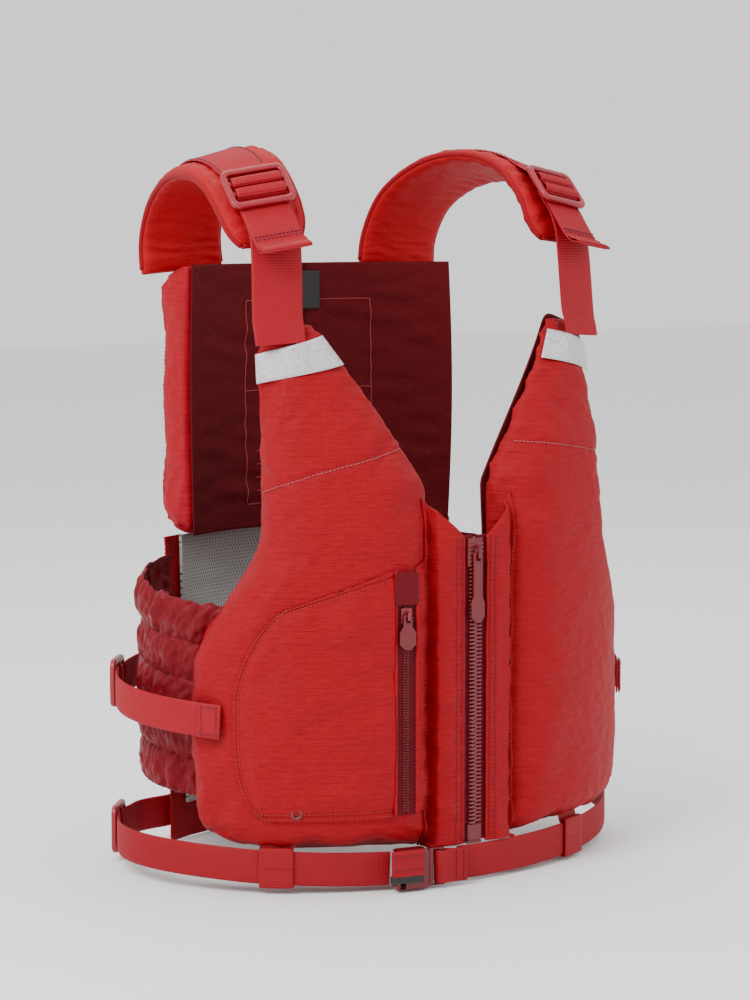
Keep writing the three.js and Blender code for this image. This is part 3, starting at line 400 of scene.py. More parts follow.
def tint(r, g, b):
    values = [c / 255 for c in (r, g, b)]
    return tuple(c / 12.92 if c <= 0.04045 else ((c + 0.055) / 1.055) ** 2.4 for c in values) + (1.0,)


# a shader value: arithmetic on it adds Math nodes
class Wire:
    def __init__(self, shader, socket):
        self.shader, self.socket = shader, socket

    def maths(self, operation, *others):
        inputs = {i + 1: other for i, other in enumerate(others)}
        return self.shader.node("ShaderNodeMath", {"operation": operation}, {0: self, **inputs})

    def __add__(self, other):
        return self.maths("ADD", other)

    def __sub__(self, other):
        return self.maths("SUBTRACT", other)

    def __mul__(self, other):
        return self.maths("MULTIPLY", other)

    def __rsub__(self, other):
        return (self * -1.0) + other

    __radd__ = __add__
    __rmul__ = __mul__


class Shader:
    def __init__(self, name, colour, roughness, **constants):
        self.material = bpy.data.materials.new(name)
        self.material.use_nodes = True
        self.tree = self.material.node_tree
        self.surface = self.tree.nodes["Principled BSDF"]
        self.surface.inputs["Base Color"].default_value = colour
        self.surface.inputs["Roughness"].default_value = roughness
        for key, value in constants.items():
            self.surface.inputs[key.replace("_", " ")].default_value = value
        self.material.diffuse_color = colour

    def plug(self, socket, value):
        if isinstance(value, Wire):
            self.tree.links.new(value.socket, socket)
        else:
            socket.default_value = value

    def node(self, kind, settings, inputs, output=0):
        made = self.tree.nodes.new(kind)
        for key, value in settings.items():
            setattr(made, key, value)
        for key, value in inputs.items():
            self.plug(made.inputs[key], value)
        return Wire(self, made.outputs[output])

    def set(self, name, value):
        self.plug(self.surface.inputs[name], value)
        return self

    def blend(self, factor, a, b):
        return self.node("ShaderNodeMix", {"data_type": "RGBA"}, {0: factor, 6: a, 7: b}, 2)

    # the piece's own flat coordinates in metres, stretched by a scale each way
    def cloth(self, x, y):
        uv = self.node("ShaderNodeUVMap", {"uv_map": "flat"}, {})
        return self.node("ShaderNodeVectorMath", {"operation": "MULTIPLY"}, {0: uv, 1: (x, y, 1.0)})

    def noise(self, vector, scale, detail=2.0, roughness=0.5):
        return self.node("ShaderNodeTexNoise", {},
                         {"Vector": vector, "Scale": scale, "Detail": detail, "Roughness": roughness})

    def split(self, vector, axis):
        return self.node("ShaderNodeSeparateXYZ", {}, {0: vector}, axis)

    def bump(self, height, strength, distance):
        wire = self.node("ShaderNodeBump", {},
                         {"Strength": strength, "Distance": distance, "Height": height})
        return self.set("Normal", wire)


# woven cloth: fine level threads, a ripstop grid and soft patches of tone
def wovenCloth(name, colour, roughness=0.62, ribs=0.6, ripstop=0.0, wrinkle=0.0, sheen=0.05, tone=0.12):
    shader = Shader(name, colour, roughness, Sheen_Weight=sheen, Sheen_Roughness=0.4, Sheen_Tint=colour,
                    Specular_IOR_Level=0.22, Specular_Tint=mix(np.ones(4), np.array(colour), 0.5).tolist())
    weft = shader.noise(shader.cloth(110, 1050), 1.0, 2.0)
    patch = shader.noise(shader.cloth(26, 26), 1.0, 3.0)
    dark = tuple(c * 0.72 for c in colour[:3]) + (1.0,)
    light = tuple(min(1, c * 1.14 + 0.004) for c in colour[:3]) + (1.0,)
    level = (weft - 0.5) * ribs * 2.0 + (patch - 0.5) * tone * 2.2 + 0.5
    height = weft * 0.00022
    if ripstop:
        grid = shader.cloth(6.2832 / 0.0046, 6.2832 / 0.0046)
        lines = shader.split(grid, 1).maths("SINE").maths("MAXIMUM", 0.0).maths("POWER", 14.0)
        posts = shader.split(grid, 0).maths("SINE").maths("MAXIMUM", 0.0).maths("POWER", 14.0)
        level = level + (lines + posts * 0.45) * -ripstop
        height = height + (lines + posts * 0.5) * 0.00008
    if wrinkle:
        folds = shader.noise(shader.cloth(30, 52), 1.0, 3.0, 0.6)
        crease = (shader.noise(shader.cloth(17, 34), 1.0, 4.0, 0.6) - 0.5).maths("ABSOLUTE")
        height = height + folds * wrinkle + crease * (wrinkle * -2.2)
    shader.set("Base Color", shader.blend(level.maths("MINIMUM", 1.0).maths("MAXIMUM", 0.0), dark, light))
    shader.set("Roughness", (patch - 0.5) * 0.12 + roughness)
    shader.bump(height, 0.85, 1.0)
    return shader.material


# webbing: the ribs are in the mesh, so only thread grain and tone vary
def webCloth(name, colour, roughness=0.55):
    shader = Shader(name, colour, roughness, Sheen_Weight=0.04, Sheen_Tint=colour, Specular_IOR_Level=0.22)
    grain = shader.noise(shader.cloth(900, 900), 1.0, 1.0)
    patch = shader.noise(shader.cloth(40, 40), 1.0, 2.0)
    dark = tuple(c * 0.66 for c in colour[:3]) + (1.0,)
    shader.set("Base Color", shader.blend(grain * 0.5 + patch * 0.5 + 0.1, dark, colour))
    shader.bump(grain * 0.00012, 0.8, 1.0)
    return shader.material


# spacer mesh: rows of round holes, each row set half a pitch across from the last; the holes are painted a
# dark grey as the shade inside them
def holedCloth(name, colour, holeShade, pitch=0.0032):
    shader = Shader(name, colour, 0.75, Specular_IOR_Level=0.2)
    across = shader.cloth(6.2832 / pitch, 6.2832 / (pitch * 1.732))
    x, y = shader.split(across, 0).maths("COSINE"), shader.split(across, 1).maths("COSINE")
    depth = (x * y).maths("SUBTRACT", 0.30).maths("MULTIPLY", 3.4).maths("MAXIMUM",
                                                                         0.0).maths("MINIMUM", 1.0)
    patch = shader.noise(shader.cloth(30, 30), 1.0, 2.0)
    base = shader.blend(patch, tuple(c * 0.86 for c in colour[:3]) + (1.0,), colour)
    # painted shade: the holes are blended toward the dark grey
    shader.set("Base Color", shader.blend(depth * 0.85, base, holeShade))
    shader.bump(depth * -0.0007, 0.9, 1.0)
    return shader.material


# moulded plastic: satin with faint mottling
def moulded(name, colour, roughness=0.36, metallic=0.0, coat=0.0):
    shader = Shader(name, colour, roughness, Metallic=metallic, Coat_Weight=coat, Specular_IOR_Level=0.5)
    place = shader.node("ShaderNodeTexCoord", {}, {}, 3)
    grain = shader.noise(place, 90.0, 3.0)
    fine = shader.noise(place, 2200.0, 1.0)
    shader.set("Base Color", shader.blend(grain, tuple(c * 0.86 for c in colour[:3]) + (1.0,), colour))
    shader.set("Roughness", (grain - 0.5) * 0.16 + roughness)
    shader.bump(fine * 0.00002, 0.6, 1.0)
    return shader.material


# reflective tape: bright silver with a fine honeycomb
def silverTape(name):
    shader = Shader(name, tint(196, 192, 194), 0.42, Metallic=0.35, Coat_Weight=0.2)
    cell = shader.node("ShaderNodeTexVoronoi", {}, {"Vector": shader.cloth(1, 1), "Scale": 520.0})
    shader.set("Base Color", shader.blend(cell.maths("POWER", 2.0), tint(206, 202, 204),
                                          tint(168, 162, 166)))
    shader.bump(cell * -0.00015, 0.6, 1.0)
    return shader.material


shell = wovenCloth("shellCloth", tint(150, 5, 21), ripstop=0.22, wrinkle=0.0022)
backShell = wovenCloth("backCloth", tint(158, 7, 27), ripstop=0.22, wrinkle=0.0022)
bindingCloth = wovenCloth("bindingCloth", tint(142, 4, 19), ribs=0.4)
liningCloth = wovenCloth("liningCloth", tint(88, 4, 13), roughness=0.75, ribs=0.8, wrinkle=0.0016)
yokeCloth = wovenCloth("yokeCloth", tint(166, 4, 20), ribs=0.4, wrinkle=0.0016)
satin = wovenCloth("gatheredCloth", tint(112, 8, 22), roughness=0.42, ribs=0.2, wrinkle=0.0016, sheen=0.1,
                   tone=0.2)
# the second colour is painted shade inside the mesh holes
spacer = holedCloth("spacerMesh", tint(186, 185, 182), tint(96, 95, 93))
webRed = webCloth("webbing", tint(160, 10, 29))
beltRed = webCloth("beltWebbing", tint(150, 8, 25))
tapeCloth = wovenCloth("zipTapeCloth", tint(96, 8, 20), ribs=0.8, tone=0.08)
silver = silverTape("reflectiveTape")
plasticRed = moulded("plasticRed", tint(146, 12, 30), 0.34, coat=0.1)
plasticDark = moulded("plasticDark", tint(104, 8, 20), 0.36, coat=0.1)
toothPlastic = moulded("toothPlastic", tint(112, 18, 30), 0.32, coat=0.1)
sliderMetal = moulded("sliderMetal", tint(150, 60, 66), 0.34, metallic=0.6)
rubber = moulded("blackRubber", tint(20, 20, 21), 0.5)
thread = moulded("thread", tint(150, 12, 24), 0.6)
paleThread = moulded("paleThread", tint(158, 92, 96), 0.6)
darkThread = moulded("darkThread", tint(74, 4, 14), 0.6)
purpleThread = moulded("purpleThread", tint(92, 16, 52), 0.6)
whiteThread = moulded("whiteThread", tint(216, 208, 210), 0.6)
printInk = moulded("printInk", tint(150, 34, 44), 0.6)
print("stage: materials")


# lets a closed cover swell for twenty frames on its held seams, then limits how far each point moved
def inflate(obj, held, pressure, cap, grow=0.035, voxel=0.005):
    modify(obj, "REMESH", mode="VOXEL", voxel_size=voxel)
    apply(obj)
    start = points(obj)
    group = obj.vertex_groups.new(name="held")
    group.add(np.nonzero(held(start))[0].tolist(), 1.0, "REPLACE")
    cloth = modify(obj, "CLOTH")
    s = cloth.settings
    s.quality, s.mass, s.use_pressure, s.uniform_pressure_force = 5, 0.2, True, pressure
    s.tension_stiffness, s.compression_stiffness, s.shear_stiffness, s.bending_stiffness = 12, 12, 4, 0.25
    s.vertex_group_mass, s.shrink_min, s.effector_weights.gravity = "held", -grow, 0.0
    cloth.collision_settings.use_collision = False
    cloth.point_cache.frame_start, cloth.point_cache.frame_end = 1, 20
    for number in range(1, 21):
        bpy.context.scene.frame_set(number)
    apply(obj)
    bpy.context.scene.frame_set(1)
    obj.vertex_groups.clear()
    move = points(obj) - start
    far = np.linalg.norm(move, axis=1, keepdims=True)
    setPoints(obj, start + move * cap * np.tanh(far / cap) / np.maximum(far, 1e-9))
    modify(obj, "SUBSURF", levels=1, render_levels=1)
    return apply(obj)


# draws the skin in along a seam given as angles and heights: a bell across the line
def pinch(obj, line, depth, width, pucker=0.0, seed=1):
    co = points(obj)
    flat = flatOf(co)
    line = np.asarray(line, float)
    knots = np.stack([np.radians(line[:, 0]) * 0.19, line[:, 1]], -1)
    near = np.full(len(co), 1.0)
    for a, b in zip(knots[:-1], knots[1:]):
        way = b - a
        t = np.clip(((flat - a) @ way) / (way @ way), 0, 1)
        near = np.minimum(near, np.linalg.norm(flat - a - t[:, None] * way, axis=1))
    angle, _ = placeOf(co)
    facing = (normals(obj) * outward(angle)).sum(1) > 0.1
    crease = depth * np.exp(-(near / width) ** 2)
    crease += pucker * np.exp(-(near / (3 * width)) ** 2) * ripple(flat[:, 0], flat[:, 1], 0.011, seed)
    setPoints(obj, co - normals(obj) * (crease * facing)[:, None])


# creases the outer skin: ridged folds that are deepest beside the edges given by a closeness of 0 to 1
def crumple(obj, amount, closeness, seed, length=0.03, stretch=0.45):
    co = points(obj)
    angle, height = placeOf(co)
    flat = flatOf(co)
    facing = np.clip((normals(obj) * outward(angle)).sum(1), 0, 1)
    ridged = 0.75 - 1.5 * np.abs(ripple(flat[:, 0], flat[:, 1], length, seed, stretch))
    soft = ripple(flat[:, 0], flat[:, 1], 2.2 * length, seed + 1)
    lift = amount * (0.55 * soft + ridged * closeness(angle, height))
    setPoints(obj, co + normals(obj) * (np.clip(lift, -3 * amount, 1.6 * amount) * facing)[:, None])


# a pad's outer (1) and inner (0) layer, worked out over its whole grid of shares across and up
def padLayers(shape, s, t):
    return [shape(*np.meshgrid(s, t), layer) for layer in (1, 0)]


# cells that crowd towards both ends
def spaced(count, crowd=0.35):
    t = np.linspace(0, 1, count)
    return t - crowd / 6.2832 * np.sin(6.2832 * t)


s, t = spaced(46), spaced(90)


frontPad = {"roll": 0.024, "tall": 0.39, "backInset": 0.0032, "skinInset": 0.0016, "pressure": 4.0,
            "cap": 0.0042, "heldBand": 0.008, "fill": 0.7}


# A front panel's cover: depth falls as a quarter ellipse over its rounded border, closed by a flat back
def frontCover(side, name):
    def shape(s, t, layer):
        nominal, height = frontHeight(0 * s, t), frontHeight(s, t)
        inner, outer = padInnerAngle(nominal), armholeAngle(nominal)
        width = np.radians(outer - inner) * 0.9 * halfWidth
        thickness = frontThickness(nominal)
        roll = np.minimum(frontPad["roll"], 0.4 * width)
        full = fullness(np.minimum(s, 1 - s) * width, roll)
        full = full * fullness(np.minimum(t, 1 - t) * frontPad["tall"], frontPad["roll"])
        deep = (thickness - frontPad["backInset"]) * (1 - full * layer) + frontPad["skinInset"] * layer * full
        return torso(side * mix(inner, outer, s), height, deep)

    obj = build(f"frontCover{name}", pillowPatches(*padLayers(shape, s, t)), shell, weld=1e-5)

    def held(co):
        angle, height = placeOf(co)
        depth = ((torso(angle, height) - co) * outward(angle)).sum(1)
        return depth > frontThickness(height) - frontPad["heldBand"]

    inflate(obj, held, frontPad["pressure"], frontPad["cap"])
    return obj


seamLines = {
    -1: [(-49, 0.291), (-44, 0.297), (-36, 0.305), (-21, 0.317), (-15.5, 0.321)],
    1: [(15.5, 0.322), (22, 0.320), (34, 0.314), (48, 0.305)],
}
skins = {}
for side, name in ((-1, "Right"), (1, "Left")):
    cover = frontCover(side, name)

    def closeness(angle, height):
        across = halfWidth * np.sin(np.radians(np.abs(angle)))
        zipSide = np.exp(-np.clip(across - 0.031, 0, 1) / 0.022) * (height < 0.27)
        armhole = np.exp(-np.clip(armholeAngle(height) - np.abs(angle), 0, 90) * 0.0033 / 0.018)
        return 0.25 + zipSide + 0.7 * armhole + 0.7 * np.exp(-np.clip(height - 0.03, 0, 1) / 0.02)

    crumple(cover, 0.0009, closeness, 200 + side)
    pinch(cover, seamLines[side], 0.0012, 0.0022, pucker=0.0003, seed=11)
    flatten(cover)
    node = name.lower()
    place(cover, nodes=(f"front_{node}_cover", f"front_{node}_foam"), slot="shell_fabric")
    skins[side] = Surface(cover)
print("stage: front covers")


def backHalf(t):
    return 42.5 + 1.2 * np.sin(math.pi * t)


backPad = {"width": 0.285, "tall": 0.209, "bottom": 0.243, "top": 0.452, "roll": 0.024, "depth": 0.0368,
           "skinInset": 0.0016, "heldFrom": 0.031, "pressure": 4.0, "cap": 0.0045, "fill": 0.8, "seam": 38}


# The back pad's cover: the same rounded border on a taller, thicker pad
def backCoverPiece():
    def shape(s, t, layer):
        full = fullness(np.minimum(s, 1 - s) * backPad["width"], backPad["roll"])
        full = full * fullness(np.minimum(t, 1 - t) * backPad["tall"], backPad["roll"])
        deep = backPad["depth"] * (1 - full * layer) + backPad["skinInset"] * layer * full
        return torso(180 + mix(-1, 1, s) * backHalf(t), mix(backPad["bottom"], backPad["top"], t), deep)

    s, t = spaced(64), spaced(48)
    obj = build("backCover", pillowPatches(*padLayers(shape, s, t)), backShell, weld=1e-5)

    def held(co):
        angle, height = placeOf(co)
        depth = ((torso(angle, height) - co) * outward(angle)).sum(1)
        return depth > backPad["heldFrom"]

    return inflate(obj, held, backPad["pressure"], backPad["cap"])


backCover = backCoverPiece()


# deepest creases beside the pad's lower, upper and side edges
def backCloseness(angle, height):
    fromSide = np.clip(42 - np.abs(180 - np.abs(angle)), 0, 90) * 0.0033
    fromBottom, fromTop = np.clip(height - 0.245, 0, 1), np.clip(0.45 - height, 0, 1)
    level = 0.3 + np.exp(-fromBottom / 0.02) + np.exp(-fromTop / 0.02)
    return level + np.exp(-fromSide / 0.015)


crumple(backCover, 0.0009, backCloseness, 210)
for angle in (180 - backPad["seam"], backPad["seam"] - 180):
    pinch(backCover, [(angle, 0.432), (angle, 0.25)], 0.0014, 0.0022, pucker=0.0004, seed=5)
flatten(backCover)
place(backCover, nodes=("back_cover", "back_foam"), slot="back_fabric")
backSkin = Surface(backCover)
print("stage: back cover")


# A lining: the pad's inner face, pushed in and out by soft random folds that die out at its edges
def liningFold(s, t, fold, seed):
    rim = ease(np.minimum(np.minimum(s, 1 - s), np.minimum(t, 1 - t)) / 0.12)
    return fold * rim * np.clip(ripple(s * 0.2, t * 0.38, 0.05, seed, 0.7), -0.8, 2)


def liningGrid(place, s, t, fold, seed):
    s, t = np.meshgrid(s, t)
    return place(s, t, liningFold(s, t, fold, seed))


def frontLining(side):
    def place(s, t, fold):
        corner = np.abs((2 * s - 1) * (2 * t - 1)) ** 6
        s, t = 0.5 + (s - 0.5) * (1 - 0.12 * corner), 0.5 + (t - 0.5) * (1 - 0.06 * corner)
        nominal, height = frontHeight(0 * s, t), frontHeight(s, t)
        angle = mix(padInnerAngle(nominal) + 0.3, armholeAngle(nominal) - 0.3, s)
        return torso(side * angle, height, frontThickness(nominal) - 0.0008 + fold)
    return liningGrid(place, spaced(60), spaced(110), 0.0011, 31 + side)


def sheetPiece(name, grid, material, thickness, nodes=(), slot=None,
               offset=0.0):
    obj = build(name, [gridPatch(grid)], material, flat=True)
    solid(obj, thickness, offset)
    place(obj, nodes=nodes, slot=slot)
    cutSize(grid)
    return obj


for side, name in ((-1, "Right"), (1, "Left")):
    sheetPiece(f"frontLining{name}", frontLining(side), liningCloth, 0.0012,
               (f"front_{name.lower()}_lining",), "lining_fabric")


def backLiningPlace(s, t, fold):
    return torso(180 + mix(-1, 1, s) * (backHalf(t) - 0.3), mix(0.2435, 0.4515, t), 0.0394 + fold)


sheetPiece("backLining", liningGrid(backLiningPlace, spaced(90), spaced(64), 0.0012, 40), liningCloth,
           0.0012,
           ("back_lining",), "lining_fabric")


label = {"sides": (0.28, 0.72), "rowEnds": (0.32, 0.68), "levels": (0.09, 0.52, 0.86),
         "rows": (0.14, 0.19, 0.24, 0.29),
         "line": 0.0005, "proud": 0.0009}


# The print on the back lining: thin lines that follow its folds, between two places in its own shares
def printLine(start, end):
    s, t = np.linspace(start, end, 60).T
    return tube(backLiningPlace(s, t, liningFold(s, t, 0.0012, 40) + label["proud"]), label["line"],
                0.004, 6)


left, right = label["sides"]
bottom, top = label["levels"][0], label["levels"][-1]
printed = [printLine((label["rowEnds"][0], t), (label["rowEnds"][1], t)) for t in label["rows"]]
printed += [printLine((left, t), (right, t)) for t in label["levels"]]
printed += [printLine((s, bottom), (s, top)) for s in (left, right)]
place(build("liningPrint", printed, printInk), slot="label")
print("stage: linings")


# A placket: flat beside the zip, puckered across its seam, and laid onto the pad at its outer edge
def placketGrid(side):
    across, up = np.meshgrid(np.linspace(0.0105, 0.0425, 34), np.linspace(0, 1, 180))
    height = mix(0.0285, zipTop + (across - 0.011) * 0.9, up)
    angle = side * angleAcross(across)
    skin, _ = skins[side].at(angle, height, 0.0011, 0.007)
    flat = torso(angle, height, 0.007 - 0.0013 * np.sin(math.pi * share(across, 0.0105, 0.034)))
    pucker = 0.0006 * ripple(across, height, 0.016, 50 + side,
                             1.0) * np.exp(-((across - 0.020) / 0.008) ** 2)
    pucker += 0.0012 * ripple(across * 0.4, height, 0.03, 60 + side) * ease((across - 0.014) / 0.012)
    grid = mix(flat, skin, ease((across - 0.031) / 0.010)[..., None])
    return grid + outward(angle) * (pucker * (1 - ease((across - 0.033) / 0.008)))[..., None]


seams = {"dark": [], "pale": [], "plain": [], "white": []}
for side, name in ((-1, "Right"), (1, "Left")):
    grid = placketGrid(side)
    placket = sheetPiece(f"placket{name}", grid, shell, 0.0016, (f"placket_{name.lower()}",),
                         "shell_fabric")
    face = Surface(placket)
    for offset, tone in ((0.0130, "dark"), (0.0175, "dark"), (0.0400, "plain")):
        line, out = face.at(side * angleAcross(offset), np.linspace(0.032, zipTop - 0.002, 60), 0.0002,
                            0.006)
        seams[tone].append(stitches(line, out))
    edge, _ = face.at(side * angleAcross(0.0108), np.linspace(0.0285, zipTop, 60), -0.0006, 0.007)
    hem = build(f"placketEdge{name}", [tube(edge, 0.0012)], shell)
    place(hem, slot="shell_fabric")

# the tape: a flat woven strip either side of the teeth
tapeDepth = 0.0092
for side, name in ((-1, "Right"), (1, "Left")):
    across, up = np.meshgrid(np.linspace(0.0012, 0.0155, 12), np.linspace(0.030, zipTop, 130))
    grid = torso(side * angleAcross(across), up, tapeDepth + 0.0002 * np.sin(up * 700 + side))
    tape = sheetPiece(f"zipTape{name}", grid, tapeCloth, 0.0009,
                      (f"zip_tape_{name.lower()}",), "zip_tape")
print("stage: plackets and tapes")


# a rounded block: a superellipsoid of the given half sizes about each centre
def blocks(centres, half, axes=None, power=0.35, rings=6, sides=12):
    lat, lon = np.meshgrid(np.linspace(-1.52, 1.52, rings),
                           np.linspace(0, fullTurn, sides, endpoint=False), indexing="ij")
    curve = lambda v: np.sign(v) * np.abs(v) ** power
    ball = np.stack([curve(np.cos(lat)) * curve(np.cos(lon)), curve(np.cos(lat)) * curve(np.sin(lon)),
                     curve(np.sin(lat))], -1)
    ball = ball * np.asarray(half)
    if axes is not None:
        ball = ball @ np.asarray(axes)
    patches = []
    for centre in np.atleast_2d(centres):
        patches.append(gridPatch(ball + centre, wrap=True))
    return patches


teeth = {"pitch": 0.0029, "bottom": 0.0435, "top": 0.2530, "partsAbove": 0.245,
         "body": (0.0026, 0.0019, 0.00088), "head": (0.0013, 0.0018, 0.00125)}
patches = []
for side in (-1, 1):
    heights = np.arange(teeth["bottom"] + (side > 0) * teeth["pitch"] / 2, teeth["top"], teeth["pitch"])
    shut = np.where(heights < teeth["partsAbove"], 0.0, 0.0012)
    body = np.stack([side * (0.0030 + shut), 0 * heights + centreY - frontReach + tapeDepth - 0.0014,
                     heights], -1)
    patches += blocks(body, teeth["body"])
    head = body + np.array([-side * 0.0022, 0.0, 0.0])
    patches += blocks(head, teeth["head"])
place(build("zipTeeth", patches, toothPlastic), slot="zip_plastic")
print("stage: zip teeth")


# a merged copy of CAD nodes with rounded edges
def soften(name, node, material, width, body="vest", slot=None, segments=3, angle=0.5):
    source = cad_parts[node]
    mesh = source.data.copy()
    obj = bpy.data.objects.new(name, mesh)
    bpy.context.scene.collection.objects.link(obj)
    shape = bmesh.new()
    shape.from_mesh(mesh)
    bmesh.ops.remove_doubles(shape, verts=shape.verts, dist=1e-5)
    bmesh.ops.dissolve_limit(shape, angle_limit=0.02, verts=shape.verts, edges=shape.edges)
    shape.to_mesh(mesh)
    shape.free()
    mesh.materials.clear()
    mesh.materials.append(material)
    mesh.polygons.foreach_set("use_smooth", np.zeros(len(mesh.polygons), bool))
    modify(obj, "BEVEL", width=width, segments=segments, limit_method="ANGLE", angle_limit=angle,
           use_clamp_overlap=True)
    return place(obj, body, (node,), slot)


soften("zipSlider", "zip_slider", plasticDark, 0.0006, "main_slider", "plastic")
soften("zipPull", "zip_pull", plasticDark, 0.0006, "main_pull", "plastic")
soften("zipBox", "zip_box", plasticDark, 0.0007, slot="plastic")
soften("pocketSlider", "pocket_zip_slider", sliderMetal, 0.0003, "pocket_slider", "slider_metal")
soften("pocketPull", "pocket_zip_pull", plasticDark, 0.0006, "pocket_pull", "dark_plastic")
soften("buckleSocket", "buckle_socket", plasticDark, 0.0010, slot="plastic")
soften("bucklePlug", "buckle_plug", plasticDark, 0.0006, "buckle_plug_end", "plastic")
soften("tailTip", "belt_tail_tip", rubber, 0.0008, slot="black_rubber")
print("stage: hardware")


lock = {"length": 0.036, "rim": 0.0023, "play": 0.0012, "corner": 0.0045, "barOff": 0.005,
        "angle": 119, "proud": 0.0055}
webOff = 0.0034
overBar = np.array([[14, -3.4], [11, -2.7], [9.3, 0], [8.5, 2.3], [7.1, 3.5], [5, 3.7], [2.9, 3.5],
                    [1.7, 2.2], [1.5, 0], [1.5, -4.4]]) / 1000


# a superellipse of the given half sizes
def squircle(half, thick, power=3.2, count=16):
    a = np.linspace(0, fullTurn, count, endpoint=False) + math.pi / count
    curve = lambda v: np.sign(v) * np.abs(v) ** (2 / power)
    return np.stack([half * curve(np.cos(a)), thick * curve(np.sin(a))], -1)


# An adjuster: a rounded section swept round a rounded rectangle, with two bars across it
def adjusterPatches(origin, x, y, z, web):
    reach, corner = lock["length"] / 2 - lock["rim"], lock["corner"]
    tall = web / 2 + lock["play"] + lock["rim"]
    turns = [np.linspace(a, a + math.pi / 2, 7) for a in (0, math.pi / 2, math.pi, 1.5 * math.pi)]
    middle = [(reach - corner, tall - corner), (corner - reach, tall - corner),
              (corner - reach, corner - tall), (reach - corner, corner - tall)]
    ring = np.concatenate([np.stack([cx + corner * np.cos(a), cy + corner * np.sin(a)], -1)
                           for a, (cx, cy) in zip(turns, middle)])
    ring = np.concatenate([ring, ring[:1]])
    run = np.r_[0, np.cumsum(np.linalg.norm(np.diff(ring, axis=0), axis=1))]
    even = np.linspace(0, run[-1], 97)[:-1]
    loop = np.stack([np.interp(even, run, ring[:, k]) for k in (0, 1)], -1)
    around = np.roll(loop, -1, 0) - np.roll(loop, 1, 0)
    out2 = unit(np.stack([around[:, 1], -around[:, 0]], -1))
    section = squircle(0.0025, 0.0023)
    grid = (origin + (loop[:, None] + out2[:, None] * section[None, :, :1]) @ np.stack([x, y])
            + z * section[None, :, 1:])
    grid = np.concatenate([grid, grid[:1]])
    patches = [gridPatch(grid, wrap=True)]
    for u in (-lock["barOff"], lock["barOff"]):
        path = origin + x * u + y * np.linspace(-tall, tall, 24)[:, None]
        patches.append(sweep(path, np.broadcast_to(x, path.shape), squircle(0.0021, 0.0019)))
    return patches


def along(origin, x, z, local):
    local = np.asarray(local)
    return origin + local[:, :1] * x + local[:, 1:] * z


def bodyLead(side, angles, heightOf, depth):
    angles = np.asarray(angles, float)
    return torso(side * angles, heightOf(angles), depth)


lockReach = lock["length"] / 2 * perMetre
locks, webs, belts, leftBelt = [], [], [], []


# webbing that follows the body, then threads an adjuster over its bar
def threadedWeb(base, lead, way, width):
    origin, x, y, z = base
    path = np.concatenate([lead, along(origin, x * way, z, overBar)])
    return webbing(path, np.broadcast_to(y, path.shape), width)


# the box of stitches that holds a strap end, between two angles, half high either side of its middle height
def boxStitch(angle0, angle1, heightOf, half, depth):
    angles = np.linspace(angle0, angle1, 12)
    top = torso(angles, heightOf(np.abs(angles)) + half, depth)
    low = torso(angles, heightOf(np.abs(angles)) - half, depth)
    lines = [top, low, np.linspace(top[0], low[0], 6), np.linspace(top[-1], low[-1], 6)]
    return [stitches(line, outward(np.linspace(angle0, angle0 + 0.01, len(line)))
                     if len(line) == 6 else outward(angles))
            for line in lines]


def sideMiddle(angle):
    return 0.0125 + mix(0.114, 0.124, (angle - 58) / 60)


def beltMiddle(angle):
    return 0.015 + 0.009 * ease(np.abs(angle) / 100)


threadLists = {"web": [], "belt": []}
for side in (-1, 1):
    base = frameOn(side * lock["angle"], sideMiddle(lock["angle"]), -lock["proud"])
    lead = bodyLead(side, np.linspace(59, lock["angle"] - lockReach - 1, 14), sideMiddle, -0.0032)
    webs.append(threadedWeb(base, lead, -side, narrowWeb))
    rear = bodyLead(side, np.linspace(141, lock["angle"] + lockReach + 1, 6), sideMiddle, -0.0024)
    webs.append(threadedWeb(base, rear, side, narrowWeb))
    locks += adjusterPatches(*base, narrowWeb)
    fold = bodyLead(side, np.linspace(59, 65, 5), sideMiddle, -0.0050)
    webs.append(webbing(fold, upwards, narrowWeb))
    threadLists["web"] += boxStitch(side * 60, side * 64, sideMiddle, 0.010, -0.0060)

beltDepth = lambda angle: mix(0.0065, -0.003, ease((angle - 60) / 40))
beltEnds = {-1: float(angleAcross(halfWidth * math.sin(math.radians(12)) + 0.0282)), 1: -4.5}
for side in (-1, 1):
    base = frameOn(side * lock["angle"], beltMiddle(lock["angle"]), -lock["proud"])
    angles = np.linspace(beltEnds[side], lock["angle"] - lockReach - 1, 22)
    front = threadedWeb(base, bodyLead(side, angles, beltMiddle, beltDepth(angles)), -side, narrowWeb)
    (belts if side < 0 else leftBelt).append(front)
    rear = np.linspace(143.5, lock["angle"] + lockReach + 1, 6)
    depth = mix(0.010, -0.002, ease(np.linspace(0, 1.33, 6)))
    lead = bodyLead(side, rear, lambda a: 0 * a + beltMiddle(lock["angle"]), depth)
    belts.append(threadedWeb(base, lead, side, narrowWeb))
    locks += adjusterPatches(*base, narrowWeb)


# a loop of webbing round a rectangle of half sizes a and b in the plane of two axes
def loopWeb(origin, x, z, a, b, width, across, rib=0.002):
    turn = np.linspace(0, fullTurn, 33)
    curve = lambda v: np.sign(v) * np.abs(v) ** 0.25
    path = origin + x * (a * curve(np.cos(turn)))[:, None] + z * (b * curve(np.sin(turn)))[:, None]
    return webbing(path, np.broadcast_to(across, path.shape), width, rib=rib)


for side, angle in ((-1, 46), (1, 31)):
    origin, x, y, z = frameOn(side * angle, float(beltMiddle(angle)), float(beltDepth(angle)))
    belts.append(loopWeb(origin, z, y, 0.0022, 0.0142, narrowWeb, x))
    belts.append(webbing([origin + y * 0.012 - z * 0.003, origin + y * 0.026 - z * 0.006], x, narrowWeb))
print("stage: side and waist webbing")


